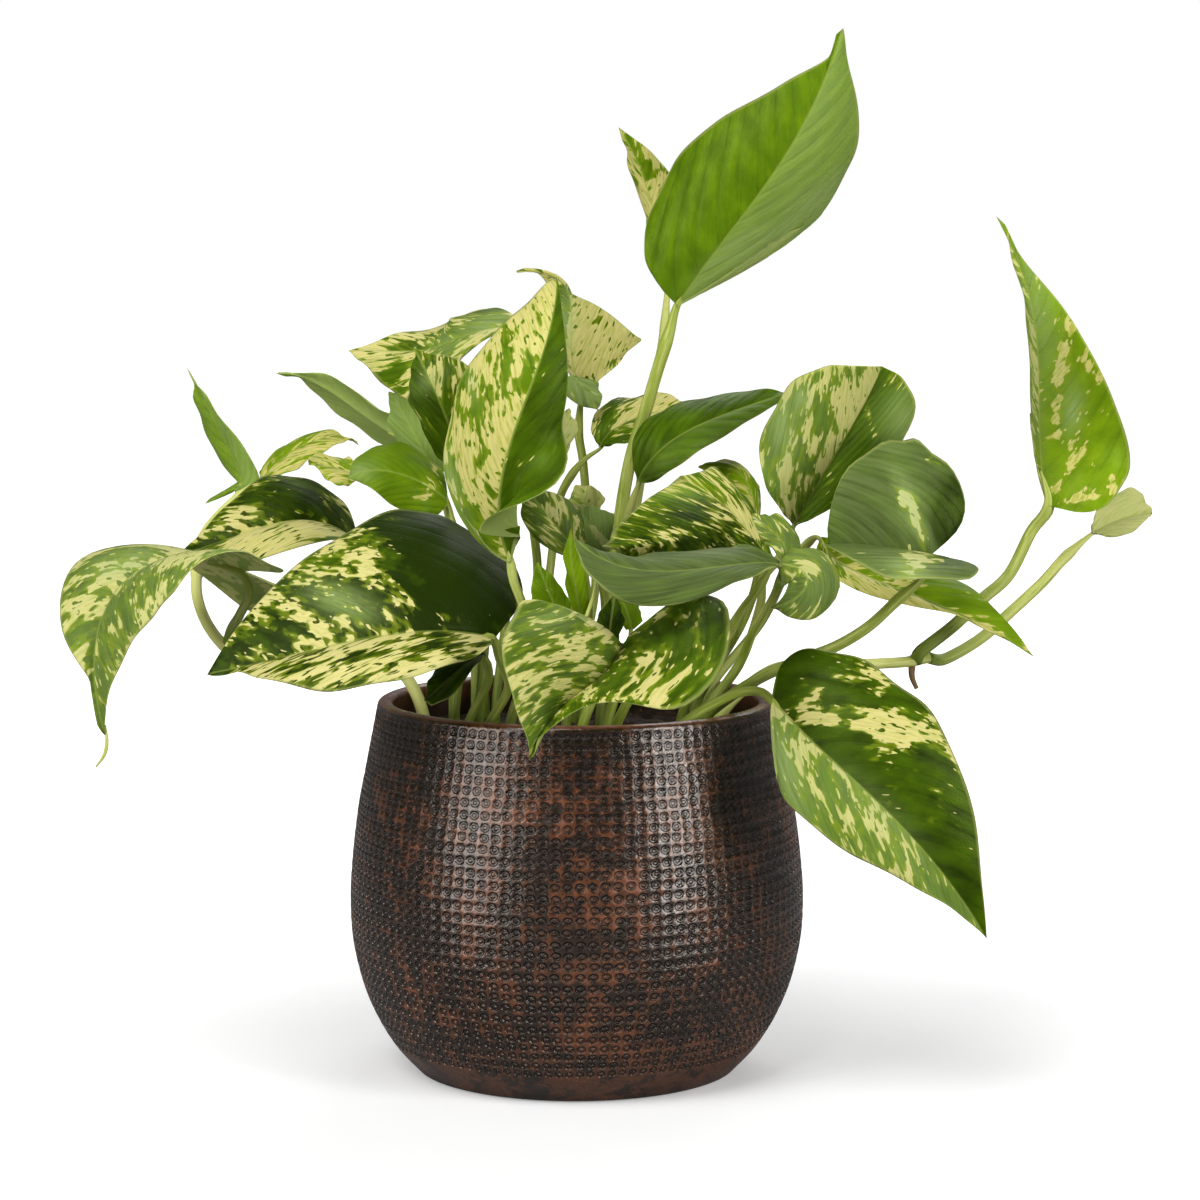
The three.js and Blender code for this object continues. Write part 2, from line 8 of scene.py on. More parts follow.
import bpy
import numpy as np
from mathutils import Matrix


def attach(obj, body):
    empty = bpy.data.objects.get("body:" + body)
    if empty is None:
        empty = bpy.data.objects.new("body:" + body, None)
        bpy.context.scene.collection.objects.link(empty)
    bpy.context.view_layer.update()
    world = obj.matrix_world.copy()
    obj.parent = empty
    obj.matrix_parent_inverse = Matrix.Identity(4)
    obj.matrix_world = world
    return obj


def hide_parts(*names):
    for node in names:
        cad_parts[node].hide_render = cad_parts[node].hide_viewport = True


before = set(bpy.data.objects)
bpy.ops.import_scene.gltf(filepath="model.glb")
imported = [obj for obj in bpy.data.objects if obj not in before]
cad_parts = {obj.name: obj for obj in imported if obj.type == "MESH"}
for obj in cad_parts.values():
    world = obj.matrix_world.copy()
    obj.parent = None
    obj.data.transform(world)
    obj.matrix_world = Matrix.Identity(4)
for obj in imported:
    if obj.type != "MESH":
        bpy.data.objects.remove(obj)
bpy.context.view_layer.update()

MM = 0.001

# The plant is laid out as it is seen from the front. A spot is (across, up, depth): across and up are read
# in a plane through AIM that faces the eye, and depth is the true distance behind the pot's axis.
# FRAME_WIDTH is how much of that plane the photograph shows, on a camera sensor as wide as SENSOR.
AIM = np.array([10.0, 0.0, 196.0])
EYE_DISTANCE = 1440.0
EYE_PITCH = math.radians(6.4)
FRAME_WIDTH = 500.0
SENSOR = 36.0
ACROSS = np.array([1.0, 0.0, 0.0])
AWAY = np.array([0.0, math.cos(EYE_PITCH), -math.sin(EYE_PITCH)])
UP = np.array([0.0, math.sin(EYE_PITCH), math.cos(EYE_PITCH)])
EYE = AIM - EYE_DISTANCE * AWAY

# The pot. WALL_SHARES go up its outside, as shares of half its width and of its height. The wobble is how
# far its wall is from round.
POT_HEIGHT = 155.0
POT_WIDTH = 190.0
WALL = 6.5
POT_FLOOR = 9.0
FLOOR_ROUNDING = 4.0
WOBBLE = 0.35
WOBBLES_ROUND = 3
WOBBLE_HEIGHT = 40.0
WALL_SHARES = (
    (0.71, 0), (0.807, 0.065), (0.89, 0.148), (0.953, 0.245), (0.993, 0.361),
    (1, 0.471), (0.989, 0.574), (0.961, 0.71), (0.919, 0.839), (0.871, 0.985),
)
LINE_POINTS = 400
BAND_STEPS = 8
LIP_STEPS = 8
INSIDE_STEPS = 11

# Its dimples: rings pressed into the wall above a plain band. Each one's middle drifts by a sine of its
# numbers.
PLAIN_BAND = 16.0
DIMPLES_ROUND = 116
DIMPLE_ROWS = 32
STEPS_ROUND = 4
STEPS_UP = 5
DIMPLE_DEPTH = 0.55
DIMPLE_RING = 1.15
DIMPLE_SQUEEZE = 0.8
DIMPLE_SOFTNESS = 0.55
DIMPLE_DRIFT = 0.07
DRIFT_BY_COLUMN = 12.9
DRIFT_BY_ROW = 7.7
DRIFT_UP = 2.0
PITCH_ROUND = math.pi * POT_WIDTH / DIMPLES_ROUND
PITCH_UP = (POT_HEIGHT - PLAIN_BAND) / DIMPLE_ROWS

# The potting mix: a drum under a layer of round crumbs
SOIL_TOP = 140.0
SOIL_GAP = 1.2
SOIL_DIP = 2.2
SOIL_SHOULDER = 8.0
SOIL_DEPTH = 30.0
SOIL_RINGS = 56
SOIL_COLUMNS = 200
CRUMBS = 1500
CRUMB_RADII = (1.2, 4.2)
CRUMB_FLATNESS = 0.55

# Blades. WIDEST is a share of the length, ARCH and NARROWEST are shares of the half width, and ROW_GAP is
# the length that one row of the grid takes up.
THICKNESS = 0.7
ARCH = 0.12
WIDEST = 0.32
NARROWEST = 0.04
ROW_GAP = 1.6
ROW_COUNTS = (30, 80)
EDGE_POWER = 8
END_STEEPNESS = 8
RIB_WIDTH = 1.1
RIB_FADE = 0.6
RIB_DIP = 0.35
RIB_KEEL = 0.75

# Veins: how they slant, fan out and curve, and their distance as a share of the length
VEIN_BEND = 1.2
VEIN_SLANT = math.radians(28)
VEIN_SPREAD = 1.1
VEIN_FAN = 0.8
VEIN_CURVE = 0.5
VEIN_GAP = 0.11
LOBE_LIMIT = 0.45

# Relief of a blade, in millimetres. QUILT_LEVEL and SHORT_WAVE are shares of other heights, and UNEVEN is a
# share of the half width. Turns are in radians a row of MARGIN, and the second turn of the sway in radians a
# half width.
QUILT = 0.14
QUILT_LEVEL = 0.35
WAVE = 0.7
SHORT_WAVE = 0.6
SWAY = 0.5
WAVE_TURNS = (2.6, 4.7)
SWAY_TURNS = (0.9, 3.0)
UNEVEN = 0.02
UNEVEN_TURNS = (3, 5)

# How far a pattern is shifted from leaf to leaf, across and along the veins, and from half to half
LEAF_SHIFT = (40, 17)
HALF_SHIFT = 300

# Stalks, spikes, vines and roots. STALK_AT_BLADE, STALK_BELOW_BLADE, COLLAR, GROOVE, NODE and the tapers are
# shares of a radius. STALK_START, STALK_NECK, COLLAR_PLACE, COLLAR_WIDTH and NODE_WIDTH are shares of a
# length, and GROOVE_WIDTH is in radians. A cream is how pale a tube is, and a deep how dark green, at its
# start and its end. A stalk's deep at its end is painted shade: its green darkens down into the pot.
FOOT_DEPTH = 8.0
STALK_RADIUS = 2.1
STALK_START = 0.12
STALK_UNDER = 0.9
STALK_AT_BLADE = 0.3
STALK_BELOW_BLADE = 0.85
STALK_NECK = 0.2
STALK_CREAM = 0.42
STALK_DEEP_AND_FOOT_SHADE = (0.3, 0.85)
COLLAR = 0.12
COLLAR_PLACE = 0.16
COLLAR_WIDTH = 0.03
GROOVE = 0.22
GROOVE_WIDTH = 0.5
SPIKE_RADIUS = 0.8
SPIKE_CREAM = 0.6
SPIKE_DEEP = (0.2, 0.2)
VINE_RADIUS = 2.6
VINE_TAPER = 0.15
NODE = 0.22
NODE_WIDTH = 0.012
ROOT_RADIUS = 1.6
ROOT_TAPER = 0.45
FEWEST_RINGS = 10

# Half of a blade's outline from the notch at its base to its tip: along and away are shares of length and
# half width, vein is where the vein to that margin point leaves the midrib, pull is how far a base lobe
# draws the point back and swell is how far a full tip widens it.
MARGIN = (
    # along, away, vein, pull, swell
    (0, 0, 0, 0, 0),
    (0.01, 0.3, 0, 0.9, 0),
    (0.05, 0.62, 0, 1, 0),
    (0.15, 0.88, 0.03, 0.55, 0),
    (0.32, 1, 0.14, 0, 0),
    (0.53, 0.88, 0.32, 0, 0.08),
    (0.73, 0.56, 0.54, 0, 0.2),
    (0.88, 0.22, 0.77, 0, 0.22),
    (1, 0, 1, 0, 0),
)

# Leaves. base, rib and tip are spots along the midrib, left and right the widest spots of the margins, seen
# from the base towards the tip with the upper face up. lobes, full and skew are (left, right): how far the
# base reaches back, how full the tip is and how far the margin slides forward. twist turns the blade about
# its midrib, in degrees. A fold is (half, centre, width, start, bend, angle): the half, 1 on the left and -1
# on the right, turns up by the angle, in degrees, between start and start + bend of the way out, within
# about the width of the centre, both as shares of the length. flaps are further lobes of the blade, and
# spike is the path of a thin sheath or of a curled tip. stalk lists spots from the blade down, radius is its
# radius, and foot is a place on the soil, as (x, y), or a vine.
LEAVES = (
    dict(
        name="leaf_tall", base=(32.5, 123, 35), rib=((58, 158, 27), (82, 193, 28)), tip=(101, 238, 44),
        left=(28, 178, 43), right=(94, 163, 58), lobes=(-0.01, -0.24), full=(-0.8, 0), skew=(0.09, 0.02),
        stalk=((29, 112, 37), (24, 96, 37), (19, 79, 37), (13, 60, 37), (8, 32, 37), (4, 0, 37)),
        foot=(3, 21), radius=3,
    ),
    dict(
        name="leaf_narrow", base=(28, 141, 111), rib=((23, 160, 111), (17, 179, 111)), tip=(7.5, 197, 111),
        left=(18, 164, 119), right=(37, 160, 116),
        stalk=((28, 129, 108), (26, 108, 102), (21, 83, 94), (17, 50, 88)), foot=(12, 65),
    ),
    dict(
        name="leaf_fan", base=(-7.5, 87, 76), rib=((-12, 111, 73), (-14, 130, 76)), tip=(-35, 137, 80),
        left=(-18, 112, 82), right=(17, 114, 81), lobes=(-0.24, 0), full=(-2.1, -2.9), skew=(0.2, -0.15),
        stalk=((-8.3, 80, 74), (-8.8, 69, 76), (-7, 57, 76), (-6, 30, 74)), foot=(-9, 57),
        flaps=(
            dict(
                base=(-10, 93, 70), rib=((-8, 89, 68), (-4, 84, 68)), tip=(-1, 79, 70),
                left=(-1, 91, 74), right=(-14, 85, 66),
            ),
        ),
    ),
    dict(
        name="leaf_upright", base=(-37.5, 16, -60), rib=((-40, 55, -65), (-27, 94, -66)),
        tip=(-18, 134, -38),
        left=(-67, 63, -45), right=(-17, 64, -54), lobes=(-0.12, -0.1), full=(-0.3, 0), skew=(0.21, -0.12),
        folds=((-1, 0.02, 0.3, 0.16, 0.2, 174),),
        stalk=((-36, 8, -61), (-32, -3, -61), (-29, -22, -49)), foot=(-27, -45),
    ),
    dict(
        name="leaf_front_left", base=(-44, -16, -74), rib=((-83, -14, -90), (-124, -22, -90)),
        tip=(-164, -31, -80),
        left=(-94, -36, -114), right=(-72, 37, -29), lobes=(0, 0.12), full=(-0.5, 0.7),
        stalk=((-42, -24, -74), (-38, -36, -66)), foot=(-36, -56),
    ),
    dict(
        name="leaf_dome_left", base=(-103, 22, 41), rib=((-125, 33, 24), (-150, 27, 18)), tip=(-175, 19, 16),
        left=(-131, 20, -7), right=(-125, 52, 52),
        stalk=((-92, 12, 44), (-75, -4, 45), (-62, -26, 46)), foot=(-52, 32),
    ),
    dict(
        name="leaf_far_left", base=(-149, 12, -29), rib=((-186, 15, -40), (-208, -9, -54)),
        tip=(-206, -57, -62),
        left=(-176, 7, -72), right=(-185, 19, 7), lobes=(0.15, 0.3), full=(0, -1), twist=-60,
        spike=((-206.2, -52, -61), (-205.5, -59, -62), (-206.5, -64.5, -62), (-210, -69.5, -62)),
        stalk=((-146, 4, -26), (-150, -6, -15), (-154, -13, -1)), foot="vine_left",
    ),
    dict(
        name="leaf_spear", base=(-150, 47, 91), rib=((-152, 58, 94), (-162, 78, 97)), tip=(-172, 97, 100),
        left=(-160, 62, 105), right=(-143, 54, 86), lobes=(0.35, 0.05), full=(-1, -0.5),
        stalk=((-150, 44, 87),), foot="vine_left",
    ),
    dict(
        name="leaf_arching", base=(-141, 50, 72), rib=((-131, 60, 72), (-116, 67, 74)), tip=(-100, 65, 80),
        left=(-128, 65, 88), right=(-124, 56, 60),
        stalk=((-143, 47, 70),), foot="vine_left",
    ),
    dict(
        name="leaf_grey_left", base=(-81, 67, 80), rib=((-99, 78, 88), (-117, 90, 94)), tip=(-135, 94, 97),
        left=(-96, 83, 77), right=(-102, 72, 102), lobes=(0.1, 0.1), full=(-0.8, 0),
        stalk=((-75, 50, 74), (-62, 17, 72)), foot=(-40, 55),
    ),
    dict(
        name="leaf_folded", base=(-33, 116, 13), rib=((-62, 108, 7), (-73, 104, 12)), tip=(-105, 104, 13),
        left=(-67, 88, -9), right=(-60, 116, 42), lobes=(-0.11, 0), full=(-0.27, 0.25), skew=(0.23, 0),
        stalk=((-34, 100, 18), (-40, 83, 24), (-42, 50, 32), (-38, 10, 38)), foot=(-34, 24),
    ),
    dict(
        name="leaf_dark_left", base=(-57, 54, -12), rib=((-63, 73, -29), (-70, 90, -32)),
        tip=(-77, 104, -26),
        left=(-78, 81, -21), right=(-48, 88, -26),
        stalk=((-53, 40, -10), (-47, 15, -7)), foot=(-40, -14),
    ),
    dict(
        name="leaf_grey_middle", base=(-67, 51, 13), rib=((-74, 63, 10), (-81, 76, 10)), tip=(-88, 87, 16),
        left=(-84, 64, 16), right=(-66, 72, 13),
        stalk=((-63, 36, 16), (-54, 5, 16)), foot=(-42, 4),
    ),
    dict(
        name="leaf_green_dome", base=(-64, 42, -7), rib=((-79, 51, -14), (-94, 54, -15)),
        tip=(-106, 50, -12),
        left=(-81, 36, -18), right=(-81, 64, 7),
        stalk=((-61, 30, -7), (-56, 5, -11)), foot=(-50, -22),
    ),
    dict(
        name="leaf_small_twisted", base=(-100, 51, 18), rib=((-107, 54, 21), (-115, 56, 24)),
        tip=(-122, 57, 24),
        left=(-110, 48, 13), right=(-110, 60, 32),
        stalk=((-88, 46, 21), (-74, 30, 30), (-62, 0, 32)), foot=(-52, 16),
    ),
    dict(
        name="leaf_front", base=(9, -19, -78), rib=((-2, -34, -101), (-15, -44, -106)), tip=(-30, -67, -118),
        left=(51, -31, -122), right=(-36, -3, -115), lobes=(0.25, -0.11), full=(-2.4, 0.5),
        skew=(0.15, -0.11),
        spike=((-1.5, 8, -82), (-2.5, 2, -92), (-5, -5, -98), (-8, -12, -100)),
        stalk=((12, -24, -70), (14, -36, -57)), foot=(16, -48),
    ),
    dict(
        name="leaf_long_grey", base=(76, 14, -66), rib=((52, 14, -84), (19, 12, -96)), tip=(-11, 26, -88),
        left=(31, -2, -102), right=(37, 20, -70),
        stalk=((74, 5, -54), (69, -5, -43), (64, -13, -35), (59, -25, -26)), foot=(52, -27),
        flaps=(
            dict(
                base=(75, 15, -67), rib=((86, 10, -68), (83, 2, -70)), tip=(71, -3, -68),
                left=(100, 8, -62), right=(74, 7, -66),
            ),
            dict(
                base=(77, 15, -66), rib=((76, 24, -60), (70, 30, -60)), tip=(63, 36, -54),
                left=(69, 23, -62), right=(80, 31, -52),
            ),
        ),
    ),
    dict(
        name="leaf_dome_centre", base=(72, 17, -18), rib=((63, 27, -20), (53, 38, -24)), tip=(33, 51, -26),
        left=(5, 21, -66), right=(54, 50, -10), lobes=(0.14, -0.11), full=(1.05, 0.25),
        stalk=((67, 6, -15), (58, -6, -7)), foot=(44, -7),
    ),
    dict(
        name="leaf_back_yellow", base=(66, 30, 8), rib=((64, 42, 8), (58, 53, 19)), tip=(41, 55, 28),
        left=(50, 40, 24), right=(65, 50, 16), lobes=(0, -0.14), full=(0, 0.17), skew=(0, 0.12),
        stalk=((66, 12, 16), (60, -8, 24)), foot=(50, 16),
    ),
    dict(
        name="leaf_round_variegated", base=(81, 31, 4), rib=((93, 52, 6), (107, 76, 4)),
        tip=(117.5, 97.5, 0),
        left=(67, 71, -3), right=(126, 64, 7), full=(0.7, 0.43), skew=(0.12, -0.04),
        stalk=((75, 18, 7), (68, 9, 10), (67, -1, 13), (58, -27, 17)), foot=(54, 4),
    ),
    dict(
        name="leaf_blue_round", base=(137, 18, -25), rib=((125, 20, -27), (108, 22, -27)), tip=(95, 22, -24),
        left=(130, 8, -68), right=(126, 67, -12), lobes=(0.32, 0.33), full=(0.24, 1.4), skew=(0.08, -0.16),
        stalk=((134, 9, -24), (124, 0, -26), (112, -11, -29), (99, -19, -32), (84, -25, -35), (64, -34, -38)),
        foot=(48, -46), radius=2.6,
    ),
    dict(
        name="leaf_long_point", base=(92, 26, 27), rib=((108, 11, 14), (141, -2, -1)), tip=(181, -24, 2),
        left=(132, 17, 38), right=(107, 4, 5), full=(0.3, -0.9), skew=(-0.11, 0),
        stalk=((87, 24, 38), (79, 14, 44), (68, -8, 49)), foot=(54, 37),
    ),
    dict(
        name="leaf_long_green", base=(16, 50, 4), rib=((31, 67, 7), (54, 78, 24)), tip=(80, 87, 46),
        left=(30, 80, 30), right=(37, 59, 2), full=(0, 0.6),
        stalk=((13, 40, 6), (10, 28, 7), (8, 5, 11)), foot=(10, 1),
    ),
    dict(
        name="leaf_behind_tall", base=(0, 64, 66), rib=((9, 73, 69), (23, 78, 74)), tip=(38, 82, 80),
        left=(9, 84, 86), right=(17, 67, 58),
        stalk=((-6, 59, 63), (-12, 52, 60), (-17, 42, 59), (-20, 20, 56)), foot=(-17, 37),
    ),
    dict(
        name="leaf_pale_behind", base=(-27, 46, -15), rib=((-22, 57, -24), (-17, 69, -26)),
        tip=(-13, 80, -24),
        left=(-29, 62, -24), right=(-12, 67, -15),
        stalk=((-28, 34, -10), (-26, 10, -4)), foot=(-22, -12),
    ),
    dict(
        name="leaf_small_pale", base=(-4, 36, 52), rib=((-6, 41, 49), (-8, 45, 49)), tip=(-10, 48, 52),
        left=(-14, 40, 52), right=(1, 44, 52),
        stalk=((-3, 28, 52), (-2, 5, 53)), foot=(-1, 39),
    ),
    dict(
        name="leaf_mottled", base=(-9, 20, -38), rib=((-17, 29, -43), (-24, 38, -40)), tip=(-32, 47, -35),
        left=(-30, 29, -45), right=(-9, 39, -32),
        stalk=((-7, 12, -46), (-5, -8, -35)), foot=(-4, -35),
    ),
    dict(
        name="leaf_grey_wedge", base=(0, 16, -24), rib=((-2, 24, -29), (-5, 32, -29)), tip=(-10, 39, -24),
        left=(-11, 27, -32), right=(5, 35, -21),
        stalk=((1, 8, -19), (2, -8, -14)), foot=(2, -17),
    ),
    dict(
        name="leaf_bright_strip", base=(-8, -8, -62), rib=((-10, 4, -64), (-12, 17, -64)),
        tip=(-12, 30, -66),
        left=(-14, 6, -62), right=(-5, 6, -62),
        stalk=((-8, -16, -60),), foot=(-10, -52),
    ),
    dict(
        name="leaf_olive", base=(-15, -9, -70), rib=((-19, -2, -72), (-23, 7, -72)), tip=(-26, 16, -70),
        left=(-27, -2, -72), right=(-14, 2, -70),
        stalk=((-15, -18, -66),), foot=(-19, -54),
    ),
    dict(
        name="leaf_dark_small", base=(3, -19, -66), rib=((4, -12, -70), (5, -5, -70)), tip=(6, 3, -68),
        left=(-2, -10, -70), right=(10, -10, -68),
        stalk=((3, -26, -64),), foot=(2, -58),
    ),
    dict(
        name="leaf_bright_small", base=(13, -12, -46), rib=((12, -7, -49), (10, -2, -49)), tip=(8, 2, -46),
        left=(7, -7, -49), right=(17, -4, -46),
        stalk=((13, -20, -40),), foot=(13, -32),
    ),
    dict(
        name="leaf_low_right", base=(72, -42, -62), rib=((99, -69, -84), (130, -99, -90)),
        tip=(161, -141, -80),
        left=(130, -38, -70), right=(83, -90, -94), lobes=(0.1, -0.12),
        stalk=((66, -38, -54), (54, -40, -52)), foot=(40, -58),
    ),
    dict(
        name="leaf_right_upright", base=(187, 39, 28), rib=((183, 78, 31), (181, 116, 19)),
        tip=(165, 160, 46),
        left=(180, 83, 37), right=(220, 71, 31), lobes=(-0.18, 0.05), full=(-0.85, -0.6), skew=(0.11, -0.09),
        stalk=((180, 29, 30), (170, 10, 27), (160, 1, 24), (147, -11, 21), (138, -18, 18), (133, -22, 18)),
        foot="vine_right", radius=2.8,
    ),
    dict(
        name="leaf_far_right", base=(205, 28, 74), rib=((213, 32, 77), (222, 35, 80)), tip=(230, 36, 86),
        left=(217, 46, 88), right=(219, 27, 72),
        stalk=((193, 17, 69), (185, 8, 63), (170, -6, 52), (160, -15, 44), (149, -22, 35), (142, -25, 30)),
        foot="vine_right", radius=2.6,
    ),
    dict(
        name="leaf_under", base=(-48, -23, -43), rib=((-57, -28, -54), (-66, -36, -62)), tip=(-73, -42, -66),
        left=(-60, -38, -66), right=(-64, -24, -46),
        stalk=((-46, -32, -40),), foot=(-44, -42),
    ),
)

# Vines over the rim: foot is in the soil and spots follow outwards. roots are short aerial roots, and pale
# is how pale the vine is.
VINES = (
    dict(
        name="vine_left", foot=(-64, 1), roots=(), pale=1.1,
        spots=(
            (-84, -29, 11), (-100, -27, 7), (-125, -25, 4), (-146, -22, 3), (-156, -19, 4), (-163, -11, 13),
            (-167.5, 0, 27), (-168, 11, 46), (-165, 27, 72), (-157, 37, 83), (-150, 43, 83), (-144, 47, 74),
        ),
    ),
    dict(
        name="vine_right", foot=(60, -9), pale=0.6,
        roots=(((130, -27, 21), (130, -32, 18), (132, -37, 17)),),
        spots=(
            (70, -30, 3), (82, -27, 4), (100, -27, 10), (116, -26.5, 16), (130, -25.5, 21), (137, -24, 24),
        ),
    ),
)
